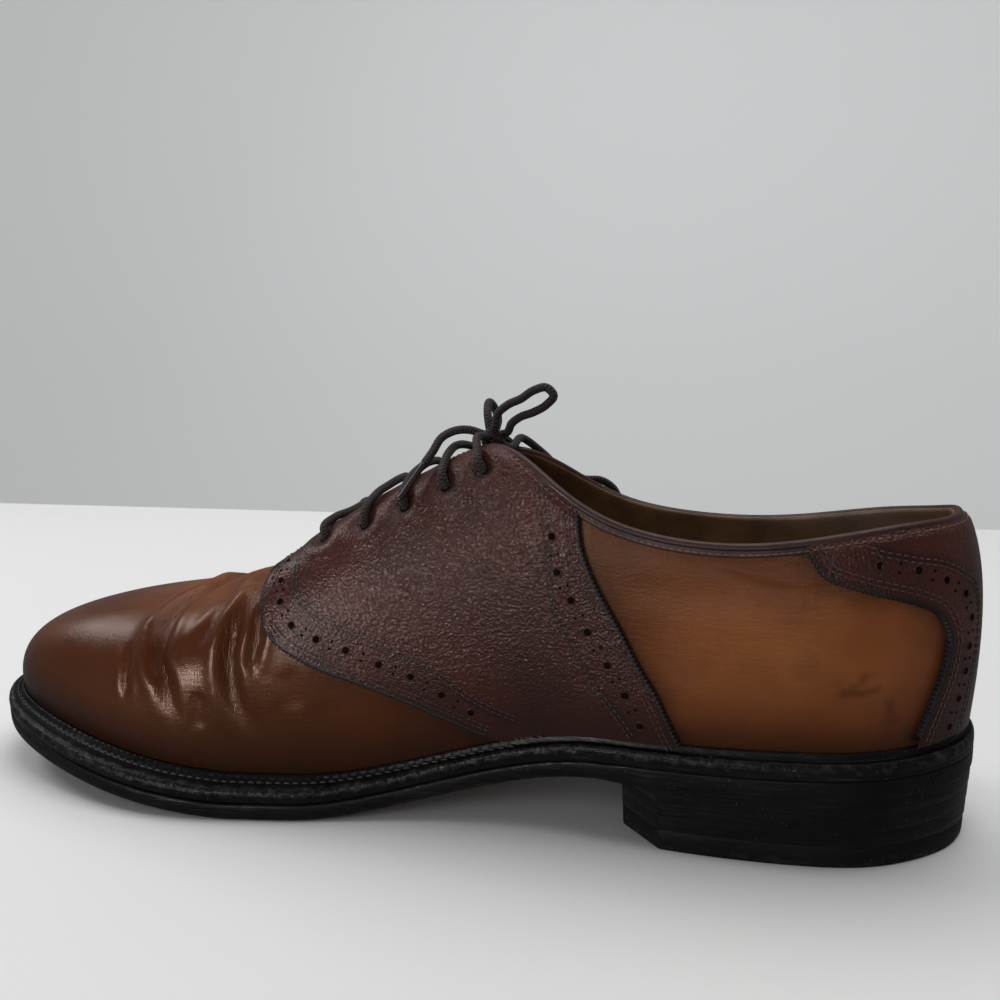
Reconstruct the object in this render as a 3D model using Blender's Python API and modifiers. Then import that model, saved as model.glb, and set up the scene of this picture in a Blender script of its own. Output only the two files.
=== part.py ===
"""A right saddle shoe in leather: welted sole, stacked heel, hollow upper with saddle and heel counter.

Metres, +Z up. The shoe stands on the plane z = 0 with its toe towards -X. Its medial side faces -Y.
The last is described by one table of stations. A place on the upper is (u, v): u runs round the shoe
from the heel (0) along the medial side to the toe (1) and back along the lateral side to the heel (2),
and v runs up from the feather line on the welt (0) to the top edge of the upper (1).
"""

import math

import bmesh
import bpy
import numpy as np
from mathutils import Vector

# Outsole
SHOE_LENGTH = 0.302
BALL_WIDTH = 0.103
HEEL_WIDTH = 0.068
OUTSOLE_THICKNESS = 0.0052
TOE_SPRING = 0.013
TREAD_FRONT_SHARE = 0.675  # shares of the length, from the back of the heel
TREAD_BACK_SHARE = 0.609

# Heel
SEAT_HEIGHT = 0.020
BREAST_HEIGHT = 0.018
BREAST_SHARE = 0.302  # share of the length
TOP_LIFT = 0.006
CORNER_CUT = 0.010  # the cut inner front corner of the heel
HEEL_TAPER = 0.0009

# Welt and insole
WELT_THICKNESS = 0.0048
WELT_MARGIN = 0.007  # from the edge to the upper, at the ball
WELT_RISE = 0.0015  # from the welt's edge up to the upper
WELT_ROUNDING = 0.0013
INSOLE_RISE = 0.0005  # above the feather line, inside the upper

# Upper
BACK_HEIGHT = 0.087
INSTEP_HEIGHT = 0.1044
LATERAL_DROP = 0.0055  # how much lower the lateral collar is
COLLAR_WIDTH = 0.058
THROAT_GAP = 0.011
FULLNESS = 0.007  # scale of the bulge of the walls
WALL = 0.002
OVERLAY = 0.0012  # leather of the saddle and the counter
TONGUE_THICKNESS = 0.0022
TONGUE_DROP = 0.0012  # from the upper's inner face down to the tongue

# Lace
LACE = 0.0024  # diameter
KNOT = 0.0030  # radius
AGLET_RADIUS = 0.00085
AGLET_LENGTH = 0.0135
BOW = 0.020  # reach of the rear loop from the knot

GAP = 0.0003
LOOP_STEPS = 78  # steps round the shoe
WALL_STEPS = 10  # steps up the upper

# Stations from the back of the heel to the toe tip. run and top_run are shares of the length from the
# back of the heel, medial and lateral are the outsole's half widths as shares of the width there,
# margin is a share of WELT_MARGIN. collar, gap, back, instep and drop place the top edge, as shares of
# COLLAR_WIDTH, THROAT_GAP, BACK_HEIGHT, INSTEP_HEIGHT and LATERAL_DROP. bulge and fill push the wall
# out near its foot and near its top, as shares of FULLNESS. rise, lead and crown are shares of the
# way from the feather line to the top edge and set how the wall bends over.
COLUMNS = (
    "run", "medial", "lateral", "margin", "top_run", "collar", "gap", "back", "instep", "drop",
    "bulge", "rise", "lead", "fill", "crown",
)
STATIONS = (
    (0.000, 0.000, 0.000, 0.45, 0.0222, 0.000, 0.00, 1.000, 0.000, 0.0, 0.36, 0.45, 0.00, 0.80, 0.80),
    (0.011, 0.184, 0.184, 0.45, 0.0258, 0.121, 0.00, 1.001, 0.000, 0.2, 0.36, 0.45, 0.00, 0.79, 0.80),
    (0.043, 0.338, 0.338, 0.45, 0.0414, 0.259, 0.00, 1.003, 0.000, 0.6, 0.34, 0.43, 0.00, 0.76, 0.78),
    (0.089, 0.450, 0.450, 0.45, 0.0778, 0.397, 0.00, 1.000, 0.000, 1.0, 0.30, 0.40, 0.00, 0.65, 0.75),
    (0.156, 0.500, 0.500, 0.45, 0.1424, 0.479, 0.00, 0.966, 0.000, 1.1, 0.28, 0.36, 0.00, 0.50, 0.70),
    (0.242, 0.500, 0.510, 0.45, 0.2219, 0.500, 0.00, 0.947, 0.000, 1.0, 0.28, 0.35, 0.00, 0.50, 0.70),
    (0.328, 0.459, 0.530, 0.45, 0.3013, 0.471, 0.00, 0.993, 0.000, 1.1, 0.30, 0.38, 0.10, 0.55, 0.72),
    (0.414, 0.402, 0.537, 0.50, 0.3609, 0.414, 0.00, 1.109, 0.000, 1.4, 0.35, 0.40, 0.25, 0.60, 0.78),
    (0.500, 0.367, 0.522, 0.65, 0.4172, 0.233, 0.00, 0.000, 1.000, 0.9, 0.40, 0.42, 0.35, 0.70, 0.88),
    (0.586, 0.381, 0.541, 0.90, 0.4801, 0.020, 0.45, 0.000, 0.925, 0.1, 0.45, 0.45, 0.40, 0.55, 0.92),
    (0.672, 0.421, 0.563, 1.00, 0.5497, 0.000, 0.45, 0.000, 0.815, 0.0, 0.45, 0.50, 0.40, 0.40, 0.92),
    (0.758, 0.435, 0.536, 1.05, 0.6026, 0.000, 0.40, 0.000, 0.704, 0.0, 0.45, 0.60, 0.40, 0.20, 0.84),
    (0.844, 0.388, 0.451, 1.05, 0.6275, 0.000, 0.30, 0.000, 0.649, 0.0, 0.48, 0.70, 0.38, 0.10, 0.75),
    (0.914, 0.308, 0.350, 0.92, 0.6348, 0.000, 0.20, 0.000, 0.632, 0.0, 0.50, 0.77, 0.36, 0.00, 0.68),
    (0.964, 0.214, 0.243, 0.78, 0.6375, 0.000, 0.12, 0.000, 0.627, 0.0, 0.50, 0.80, 0.34, 0.00, 0.65),
    (0.991, 0.112, 0.126, 0.70, 0.6385, 0.000, 0.06, 0.000, 0.624, 0.0, 0.50, 0.80, 0.33, 0.00, 0.64),
    (1.000, 0.000, 0.000, 0.68, 0.6390, 0.000, 0.00, 0.000, 0.623, 0.0, 0.50, 0.80, 0.33, 0.00, 0.64),
)
MIRRORED = ("medial", "lateral", "collar", "gap")  # zero on the centre line at heel and toe
HEEL_END_SHARE = 0.33  # the width is the heel's up to here
BALL_START_SHARE = 0.62  # and the ball's from here

# The lower edge of each overlay, as (u, v), and the u on the top edge that it is joined to.
SADDLE_EDGE = (
    (0.262, 0.000, 0.379),
    (0.345, 0.000, 0.470),
    (0.423, 0.000, 0.560),
    (0.486, 0.160, 0.610),
    (0.560, 0.265, 0.650),
    (0.625, 0.380, 0.683),
    (0.660, 0.530, 0.706),
    (0.687, 0.733, 0.722),
    (0.800, 0.860, 0.900),
    (1.000, 0.920, 1.000),
)
COUNTER_EDGE = (
    (0.188, 0.945, 0.193),
    (0.176, 0.820, 0.178),
    (0.150, 0.730, 0.150),
    (0.115, 0.630, 0.118),
    (0.088, 0.540, 0.090),
    (0.073, 0.400, 0.070),
    (0.075, 0.240, 0.024),
    (0.083, 0.120, 0.018),
    (0.093, 0.000, 0.008),
    (0.000, 0.000, 0.000),
)
OVERLAY_FOOT = 0.015  # v of the overlays' lower edge along the welt
OVERLAY_TOP = 0.985  # and of their upper edge

# Stations of the tongue, the last in front of the throat: u and v of its edge on the medial side, and
# the u at which its middle lies, near the top edge of the upper.
TONGUE_RUNGS = (
    (0.435, 0.870, 0.470),
    (0.480, 0.800, 0.500),
    (0.530, 0.800, 0.545),
    (0.590, 0.800, 0.605),
    (0.650, 0.820, 0.665),
    (0.710, 0.860, 0.735),
    (0.760, 0.870, 1.000),
)

# Eyelets on the medial side from the toe end, as (u, v), and the u at which their lace crosses the
# edge of the facing; the lateral ones mirror them.
EYELETS = (
    (0.645, 0.758, 0.676),
    (0.597, 0.733, 0.622),
    (0.558, 0.750, 0.587),
    (0.519, 0.790, 0.548),
    (0.485, 0.863, 0.512),
)

# The knot, and the lace that leaves it. In each route the first row, and a loop's last, gives only the
# direction in which the lace leaves the knot. The other rows are offsets from the middle of the knot,
# as shares of BOW.
KNOT_RUN_SHARE = 0.4354  # share of the length
KNOT_OVER_INSTEP = 0.0006
MEDIAL_STRAND = (-0.15, -0.97, 0.18)
LATERAL_STRAND = (-0.30, 0.85, -0.43)
UPRIGHT_LOOP = (
    (-0.20, 0.25, 0.95), (-0.07, 0.11, 0.32), (-0.11, 0.27, 0.42), (-0.135, 0.46, 0.45), (-0.12, 0.62, 0.37),
    (-0.07, 0.63, 0.24), (-0.02, 0.49, 0.18), (0.01, 0.32, 0.135), (0.10, 0.90, 0.43),
)
REAR_LOOP = (
    (0.42, -0.42, 0.80), (0.14, -0.115, 0.34), (0.30, -0.12, 0.48), (0.485, -0.12, 0.56), (0.68, -0.14, 0.68),
    (0.87, -0.16, 0.72), (0.97, -0.17, 0.61), (0.87, -0.15, 0.49), (0.655, -0.11, 0.37), (0.46, -0.05, 0.30),
    (0.31, 0.00, 0.195), (0.95, 0.15, 0.25),
)
MEDIAL_END = (
    (-0.80, -0.45, 0.40), (-0.28, -0.18, 0.13), (-0.45, -0.32, 0.13), (-0.595, -0.45, 0.05),
    (-0.685, -0.575, -0.12), (-0.77, -0.70, -0.265),
)
# The lateral end leaves the knot in one direction, and then lies along the collar: rows of u, v and the
# height over the upper as a share of LACE.
LATERAL_LEAVE = (0.75, 0.35, -0.56)
LATERAL_END = (
    (1.510, 1.00, 1.5), (1.535, 0.94, 1.5), (1.560, 0.90, 1.6), (1.585, 0.93, 1.8), (1.605, 0.98, 2.1),
    (1.620, 0.96, 2.4), (1.632, 0.88, 2.3),
)


def ease(t):
    t = np.clip(t, 0.0, 1.0)
    return t * t * (3.0 - 2.0 * t)


def smooth_slopes(knots, values, mirrored):
    """Slopes of the smooth curve through the values, which goes on as its mirror image past both ends."""
    count = len(knots)
    steps = np.diff(knots)
    matrix = np.zeros((count, count))
    right = np.zeros(count)
    for i in range(1, count - 1):
        before, after = steps[i - 1], steps[i]
        matrix[i, i - 1] = 1 / before
        matrix[i, i] = 2 / before + 2 / after
        matrix[i, i + 1] = 1 / after
        right[i] = 3 * (values[i] - values[i - 1]) / before**2 + 3 * (values[i + 1] - values[i]) / after**2
    for end, near, step in ((0, 1, steps[0]), (count - 1, count - 2, -steps[-1])):
        matrix[end, end] = 2 if mirrored else 1
        if mirrored:
            matrix[end, near] = 1
            right[end] = 3 * (values[near] - values[end]) / step
    return np.linalg.solve(matrix, right)


def curve_at(knots, values, slopes, at):
    j = np.clip(np.searchsorted(knots, at, side="right") - 1, 0, len(knots) - 2)
    step = knots[j + 1] - knots[j]
    t = (at - knots[j]) / step
    return (
        (2 * t**3 - 3 * t**2 + 1) * values[j]
        + (t**3 - 2 * t**2 + t) * slopes[j] * step
        + (3 * t**2 - 2 * t**3) * values[j + 1]
        + (t**3 - t**2) * slopes[j + 1] * step
    )


def width_at(run):
    share = ease((run - HEEL_END_SHARE) / (BALL_START_SHARE - HEEL_END_SHARE))
    return HEEL_WIDTH + (BALL_WIDTH - HEEL_WIDTH) * share


TABLE = {name: np.array([row[i] for row in STATIONS]) for i, name in enumerate(COLUMNS)}


def station_knots():
    """The share of the way round half the outsole at which each station lies."""
    across = 0.5 * (TABLE["medial"] + TABLE["lateral"]) * width_at(TABLE["run"])
    steps = np.hypot(np.diff(TABLE["run"] * SHOE_LENGTH), np.diff(across))
    knots = np.concatenate([[0.0], np.cumsum(steps)])
    return knots / knots[-1]


KNOTS = station_knots()
SLOPES = {name: smooth_slopes(KNOTS, TABLE[name], name in MIRRORED) for name in COLUMNS}


def column(name, half):
    return curve_at(KNOTS, TABLE[name], SLOPES[name], half)


def half_of(u):
    u = np.asarray(u, float) % 2.0
    return np.where(u <= 1.0, u, 2.0 - u), np.where(u <= 1.0, -1.0, 1.0)


def sole_edge(u):
    """Plan points of the outsole's edge, about the last's own centre line."""
    half, side = half_of(u)
    run = column("run", half)
    across = np.where(side < 0, column("medial", half), column("lateral", half)) * width_at(run)
    return np.stack([SHOE_LENGTH * (0.5 - run), side * across], -1)


# The last's centre line lies a little to the medial side, so that the outsole is centred on y = 0.
ACROSS = sole_edge(np.linspace(0, 2, 4001))[:, 1]
SIDE_SHIFT = 0.5 * float(ACROSS.max() + ACROSS.min())


def edge_out(u):
    """Unit vectors in plan, out of the outsole's edge."""
    along = sole_edge(u + 1e-3) - sole_edge(u - 1e-3)
    out = np.stack([-along[..., 1], along[..., 0]], -1)
    return out / np.linalg.norm(out, axis=-1, keepdims=True)


def outline(u, inset=0.0):
    return sole_edge(u) - edge_out(u) * inset - (0.0, SIDE_SHIFT)


def feather(u, inset=0.0):
    """Plan points of the line where the upper meets the welt."""
    u = np.asarray(u, float)
    margin = column("margin", half_of(u)[0]) * WELT_MARGIN
    return outline(u) - edge_out(u) * (margin + inset)[..., None]


def sole_bottom(x):
    """Height of the outsole's underside."""
    run = 0.5 - x / SHOE_LENGTH
    seat = SEAT_HEIGHT + (BREAST_HEIGHT - SEAT_HEIGHT) * np.clip(run / BREAST_SHARE, 0, 1)
    shank = ease((TREAD_BACK_SHARE - run) / (TREAD_BACK_SHARE - BREAST_SHARE))
    toe = np.clip((run - TREAD_FRONT_SHARE) / (1 - TREAD_FRONT_SHARE), 0, None) ** 1.2
    return seat * shank + TOE_SPRING * toe


def welt_top(x):
    return sole_bottom(x) + OUTSOLE_THICKNESS + WELT_THICKNESS


def feather_height(x):
    return welt_top(x) + WELT_RISE


def skin(u, v):
    """Points on the outer face of the upper."""
    u, v = np.broadcast_arrays(np.asarray(u, float), np.asarray(v, float))
    half, side = half_of(u)
    out = edge_out(u) * FULLNESS
    foot = feather(u)
    foot_z = feather_height(foot[..., 0])
    top_x = SHOE_LENGTH * (0.5 - column("top_run", half))
    top_y = side * (column("collar", half) * COLLAR_WIDTH + column("gap", half) * THROAT_GAP) - SIDE_SHIFT
    top = np.stack([top_x, top_y], -1)
    drop = np.where(side > 0, column("drop", half), 0.0) * LATERAL_DROP
    top_z = column("back", half) * BACK_HEIGHT + column("instep", half) * INSTEP_HEIGHT - drop
    low = foot + out * column("bulge", half)[..., None]
    high = top + (foot - top) * column("lead", half)[..., None] + out * column("fill", half)[..., None]
    low_z = foot_z + column("rise", half) * (top_z - foot_z)
    high_z = foot_z + column("crown", half) * (top_z - foot_z)
    w = (1 - v) ** 3, 3 * v * (1 - v) ** 2, 3 * v * v * (1 - v), v**3
    plan = w[0][..., None] * foot + w[1][..., None] * low + w[2][..., None] * high + w[3][..., None] * top
    z = w[0] * foot_z + w[1] * low_z + w[2] * high_z + w[3] * top_z
    return np.concatenate([plan, z[..., None]], -1)


def lifted(u, v, height):
    """Points at a height above the upper's outer face, or below it where the height is negative."""
    u, v = np.broadcast_arrays(np.asarray(u, float), np.asarray(v, float))
    step = 1e-3
    around = skin(u + step, v) - skin(u - step, v)
    upward = skin(u, np.minimum(v + step, 1.0)) - skin(u, np.maximum(v - step, 0.0))
    normal = np.cross(upward, around)
    normal /= np.linalg.norm(normal, axis=-1, keepdims=True)
    return skin(u, v) + normal * height


def material(name, colour, roughness, coat=0.0):
    made = bpy.data.materials.new(name)
    made.use_nodes = True
    shader = made.node_tree.nodes["Principled BSDF"]
    shader.inputs["Base Color"].default_value = (*colour, 1.0)
    shader.inputs["Roughness"].default_value = roughness
    shader.inputs["Metallic"].default_value = 0.0
    shader.inputs["Coat Weight"].default_value = coat
    return made


def mesh_object(name, points, faces, finish, sharp_angle=40):
    """One object from points and faces: doubled points are joined and all faces turned outwards."""
    built = bmesh.new()
    corners = [built.verts.new(point) for point in points]
    for face in faces:
        built.faces.new([corners[i] for i in face])
    bmesh.ops.remove_doubles(built, verts=built.verts, dist=1e-6)
    bmesh.ops.recalc_face_normals(built, faces=built.faces)
    mesh = bpy.data.meshes.new(name)
    built.to_mesh(mesh)
    built.free()
    mesh.shade_smooth()
    mesh.set_sharp_from_angle(angle=math.radians(sharp_angle))
    mesh.materials.append(finish)
    made = bpy.data.objects.new(name, mesh)
    SHOE.objects.link(made)
    return made


def grid_faces(rows, columns, closed=False):
    """Quads between neighbouring rows of points; a closed grid joins each row's end to its start."""
    faces = []
    for i in range(rows - 1):
        for j in range(columns if closed else columns - 1):
            k = (j + 1) % columns
            faces.append((i * columns + j, i * columns + k, (i + 1) * columns + k, (i + 1) * columns + j))
    return faces


def slab(name, halves, levels, finish):
    """A solid between loops of points. Each level gives the loop for an array of u; the first and the
    last are filled by rungs from the medial to the lateral side."""
    around = np.concatenate([halves, 2.0 - halves[::-1]])
    loops = np.array([level(around) for level in levels])
    count = len(around)
    faces = grid_faces(len(levels), count, closed=True)
    for base in (0, (len(levels) - 1) * count):
        for i in range(len(halves) - 1):
            faces.append((base + i, base + i + 1, base + count - 2 - i, base + count - 1 - i))
    return mesh_object(name, loops.reshape(-1, 3), faces, finish)


def raised(plan, z):
    return np.concatenate([plan, np.broadcast_to(z, plan.shape[:-1])[..., None]], -1)


def make_outsole():
    def level(inset, share):
        def loop(u):
            plan = outline(u, inset)
            return raised(plan, sole_bottom(plan[:, 0]) + share * OUTSOLE_THICKNESS)
        return loop

    levels = [level(0.0009, 0.0), level(0.0, 0.25), level(0.0, 0.85), level(0.0004, 1.0)]
    finish = material("sole_edge", (0.012, 0.012, 0.014), 0.42)
    slab("outsole", np.linspace(0, 1, LOOP_STEPS // 2 + 1), levels, finish)


def make_welt():
    u = np.linspace(0, 2, LOOP_STEPS, endpoint=False)

    def over_sole(plan, share):
        foot = sole_bottom(plan[:, 0]) + OUTSOLE_THICKNESS + GAP
        return raised(plan, foot + share * (WELT_THICKNESS - GAP))

    inner, crest = feather(u, WALL), feather(u, -WELT_ROUNDING / 2)
    loops = [
        over_sole(outline(u, WELT_ROUNDING / 4), 0.0),
        over_sole(outline(u), 0.45),
        over_sole(outline(u, WELT_ROUNDING), 0.95),
        raised(crest, feather_height(crest[:, 0]) - GAP),
        raised(inner, feather_height(inner[:, 0]) - GAP),
        over_sole(inner, 0.0),
    ]
    loops.append(loops[0])
    faces = grid_faces(len(loops), LOOP_STEPS, closed=True)
    mesh_object("welt", np.concatenate(loops), faces, material("welt", (0.014, 0.013, 0.013), 0.45))


def make_insole():
    def level(height):
        def loop(u):
            plan = feather(u, WALL + 2 * GAP)
            return raised(plan, height(plan[:, 0]))
        return loop

    levels = [
        level(lambda x: sole_bottom(x) + OUTSOLE_THICKNESS + GAP),
        level(lambda x: feather_height(x) + INSOLE_RISE),
    ]
    finish = material("insole", (0.16, 0.10, 0.055), 0.7)
    slab("insole", np.linspace(0, 1, LOOP_STEPS // 2 + 1), levels, finish)


def heel_loop(u, inset, height):
    """The heel's outline behind its breast, with the inner front corner cut away."""
    plan = outline(u, inset)
    breast_x = SHOE_LENGTH * (0.5 - BREAST_SHARE)
    corner_y = outline(np.array([BREAST_HALF]), inset)[0, 1]
    cut = corner_y + CORNER_CUT - (plan[:, 0] - breast_x)
    medial = half_of(u)[1] < 0
    plan[:, 1] = np.where(medial, np.maximum(plan[:, 1], cut), plan[:, 1])
    return raised(plan, height(plan[:, 0]))


BREAST_HALF = float(np.interp(BREAST_SHARE, TABLE["run"], KNOTS))


def heel_halves():
    """Stations of the heel, from its back to its breast."""
    return np.linspace(0, BREAST_HALF, 23)


def make_heel():
    stack = material("heel_stack", (0.012, 0.012, 0.014), 0.4)
    lift = material("top_lift", (0.010, 0.010, 0.011), 0.55)
    halves = heel_halves()
    inset = HEEL_TAPER / 3
    levels = [
        lambda u: heel_loop(u, inset + HEEL_TAPER, lambda x: TOP_LIFT + GAP + 0 * x),
        lambda u: heel_loop(u, inset, lambda x: sole_bottom(x) - GAP),
    ]
    slab("heel_stack", halves, levels, stack)
    levels = [
        lambda u: heel_loop(u, inset + 2 * HEEL_TAPER, lambda x: 0 * x),
        lambda u: heel_loop(u, inset + 1.4 * HEEL_TAPER, lambda x: 0.15 * TOP_LIFT + 0 * x),
        lambda u: heel_loop(u, inset + HEEL_TAPER, lambda x: TOP_LIFT + 0 * x),
    ]
    slab("top_lift", halves, levels, lift)


def solidify(made, thickness, outwards):
    """Turns a surface whose faces look outwards into a wall of this thickness."""
    modifier = made.modifiers.new("Wall", "SOLIDIFY")
    modifier.thickness = thickness
    modifier.offset = 1.0 if outwards else -1.0
    return made


def surface_object(name, points, closed, finish):
    """A smooth open surface from rows of points, its faces looking out of the shoe."""
    rows, columns = points.shape[:2]
    made = mesh_object(name, points.reshape(-1, 3), grid_faces(rows, columns, closed), finish, 60)
    middle = Vector((0.0, -SIDE_SHIFT, INSTEP_HEIGHT / 3))
    inwards = sum((face.center - middle).dot(face.normal) * face.area for face in made.data.polygons)
    if inwards < 0:
        made.data.flip_normals()
    return made


def make_upper():
    u = np.linspace(0, 2, LOOP_STEPS, endpoint=False)
    v = ease(np.linspace(0, 1, WALL_STEPS + 1)) * 0.3 + np.linspace(0, 1, WALL_STEPS + 1) * 0.7
    points = skin(u[None, :], v[:, None])
    upper = surface_object("upper", points, True, material("tan_leather", (0.26, 0.085, 0.022), 0.32, 0.3))
    solidify(upper, WALL, outwards=False)


def overlay_points(edge, half_steps, steps):
    """Rows of points of an overlay, from its lower edge to the top edge, both sides of the shoe."""
    rows = np.array(edge)
    moves = np.abs(np.diff(rows, axis=0))
    knots = np.concatenate([[0.0], np.cumsum(moves @ (2.0, 0.25, 1.0))])
    at = np.linspace(0, knots[-1], half_steps + 1)
    edge_u, edge_v, top_u = (np.interp(at, knots, rows[:, i]) for i in range(3))
    centre_at_toe = rows[-1, 0] > 0.5
    mirror = 2.0 if centre_at_toe else 0.0
    edge_u = np.concatenate([edge_u, mirror - edge_u[-2::-1]])
    top_u = np.concatenate([top_u, mirror - top_u[-2::-1]])
    edge_v = np.concatenate([edge_v, edge_v[-2::-1]])
    rise = np.linspace(0, 1, steps + 1)[:, None]
    share = 0.5 * rise + 0.5 * np.sin(rise * math.pi / 2)
    u = edge_u + (top_u - edge_u) * share
    v = edge_v + (OVERLAY_TOP - edge_v) * share
    return lifted(u, np.maximum(v, OVERLAY_FOOT), 1.6 * GAP)


def make_overlays():
    saddle = overlay_points(SADDLE_EDGE, 29, 11)
    counter = overlay_points(COUNTER_EDGE, 24, 6)
    for name, points, colour in (
        ("saddle", saddle, (0.055, 0.014, 0.009)),
        ("heel_counter", counter, (0.075, 0.020, 0.011)),
    ):
        piece = surface_object(name, points, False, material(name + "_leather", colour, 0.34, 0.25))
        solidify(piece, OVERLAY, outwards=True)


def make_tongue():
    """A strip under the facings, from in front of the throat up to the collar."""
    rows = []
    depth = -(WALL + TONGUE_DROP)
    for edge_u, edge_v, middle_u in TONGUE_RUNGS:
        medial = lifted(edge_u, edge_v, depth)
        lateral = lifted(2.0 - edge_u, edge_v, depth)
        middle = 0.5 * (lifted(middle_u, 0.97, depth) + lifted(2.0 - middle_u, 0.97, depth))
        rows.append([medial, middle, lateral])
    rungs = np.array(rows)
    along = np.linspace(0, 1, len(rungs))
    across = np.linspace(-1, 1, 9)[:, None]
    lanes = []
    for t in np.linspace(0, 1, 15):
        a, b, c = (np.array([np.interp(t, along, rungs[:, k, axis]) for axis in range(3)]) for k in range(3))
        lanes.append(a * across * (across - 1) / 2 + b * (1 - across**2) + c * across * (across + 1) / 2)
    tongue = surface_object("tongue", np.array(lanes), False, material("tongue", (0.09, 0.05, 0.035), 0.6))
    solidify(tongue, TONGUE_THICKNESS, outwards=False)


def smooth_route(points, step):
    """Points at even steps along a smooth curve through the route's own points."""
    route = np.array(points, float)
    knots = np.concatenate([[0.0], np.cumsum(np.linalg.norm(np.diff(route, axis=0), axis=1))])
    fine = np.linspace(0, knots[-1], 400)
    slopes = [np.gradient(route[:, axis], knots) for axis in range(3)]
    curve = np.stack([curve_at(knots, route[:, axis], slopes[axis], fine) for axis in range(3)], -1)
    length = np.concatenate([[0.0], np.cumsum(np.linalg.norm(np.diff(curve, axis=0), axis=1))])
    at = np.linspace(0, length[-1], max(2, round(length[-1] / step)) + 1)
    return np.stack([np.interp(at, length, curve[:, axis]) for axis in range(3)], -1)


def tube(name, points, radius, finish):
    data = bpy.data.curves.new(name, "CURVE")
    data.dimensions = "3D"
    data.bevel_depth = radius
    data.bevel_resolution = 2
    data.use_fill_caps = True
    spline = data.splines.new("POLY")
    spline.points.add(len(points) - 1)
    for knot, point in zip(spline.points, points):
        knot.co = (*point, 1.0)
    data.materials.append(finish)
    made = bpy.data.objects.new(name, data)
    SHOE.objects.link(made)
    return made


def knot_centre():
    x = SHOE_LENGTH * (0.5 - KNOT_RUN_SHARE)
    return np.array([x, -SIDE_SHIFT, INSTEP_HEIGHT + KNOT_OVER_INSTEP])


def leaving(direction):
    """The first two points of a lace that leaves the knot straight."""
    away = np.array(direction) / np.linalg.norm(direction)
    return [knot_centre() + away * (KNOT + 1.5 * GAP + further) for further in (0.0, LACE / 2)]


def from_knot(rows):
    return leaving(rows[0]) + [knot_centre() + np.array(row) * BOW for row in rows[1:]]


def make_lace():
    lace = material("lace", (0.020, 0.014, 0.012), 0.7)
    aglet = material("aglet", (0.03, 0.03, 0.03), 0.25)
    over = OVERLAY + 3 * GAP + LACE / 2

    def up_from(u, v, edge_u):
        """The lace from an eyelet up to the edge of the facing."""
        halfway = lifted(0.5 * (u + edge_u), 0.5 * (v + 1.0), over)
        return [lifted(u, v, over), halfway, lifted(edge_u, 1.0, over)]

    for number, (u, v, edge_u) in enumerate(EYELETS[:-1], start=1):
        route = up_from(u, v, edge_u) + up_from(2.0 - u, v, 2.0 - edge_u)[::-1]
        tube(f"lace_bar_{number}", smooth_route(route, 2 * LACE), LACE / 2, lace)
    u, v, edge_u = EYELETS[-1]
    strands = {
        "medial": up_from(u, v, edge_u) + leaving(MEDIAL_STRAND)[::-1],
        "lateral": up_from(2.0 - u, v, 2.0 - edge_u) + leaving(LATERAL_STRAND)[::-1],
    }
    for side, route in strands.items():
        tube(f"lace_strand_{side}", smooth_route(route, 1.7 * LACE), LACE / 2, lace)
    for name, rows in (("lace_loop_upright", UPRIGHT_LOOP), ("lace_loop_rear", REAR_LOOP)):
        route = from_knot(rows[:-1]) + leaving(rows[-1])[::-1]
        tube(name, smooth_route(route, 1.6 * LACE), LACE / 2, lace)
    ends = {
        "medial": from_knot(MEDIAL_END),
        "lateral": leaving(LATERAL_LEAVE) + [lifted(u, v, height * LACE) for u, v, height in LATERAL_END],
    }
    for side, route in ends.items():
        points = smooth_route(route, 1.9 * LACE)
        tube(f"lace_end_{side}", points, LACE / 2, lace)
        along = points[-1] - points[-2]
        along /= np.linalg.norm(along)
        start = points[-1] + along * GAP
        tube(f"aglet_{side}", [start, start + along * AGLET_LENGTH], AGLET_RADIUS, aglet)
    built = bmesh.new()
    bmesh.ops.create_uvsphere(built, u_segments=12, v_segments=8, radius=KNOT)
    mesh = bpy.data.meshes.new("lace_knot")
    built.to_mesh(mesh)
    built.free()
    mesh.shade_smooth()
    mesh.materials.append(lace)
    knot = bpy.data.objects.new("lace_knot", mesh)
    knot.location = knot_centre()
    SHOE.objects.link(knot)


for old in list(bpy.data.objects):
    bpy.data.objects.remove(old, do_unlink=True)
SHOE = bpy.data.collections.new("saddle_shoe")
bpy.context.scene.collection.children.link(SHOE)
make_outsole()
make_welt()
make_insole()
make_heel()
make_upper()
make_overlays()
make_tongue()
make_lace()
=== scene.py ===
"""The look of the right saddle shoe: leather, pinked edges, pinholes, stitches, creases, welt, heel and lace.

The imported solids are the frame, in metres and +Z up. A place on the upper is (u, v), as in the part's
source: u runs round the shoe from the heel (0) along the medial side to the toe (1) and back to the
heel (2), and v runs up from the feather line (0) to the top edge (1).
"""

import math

import bmesh
import bpy
import numpy as np
from mathutils import Matrix, Vector


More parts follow.
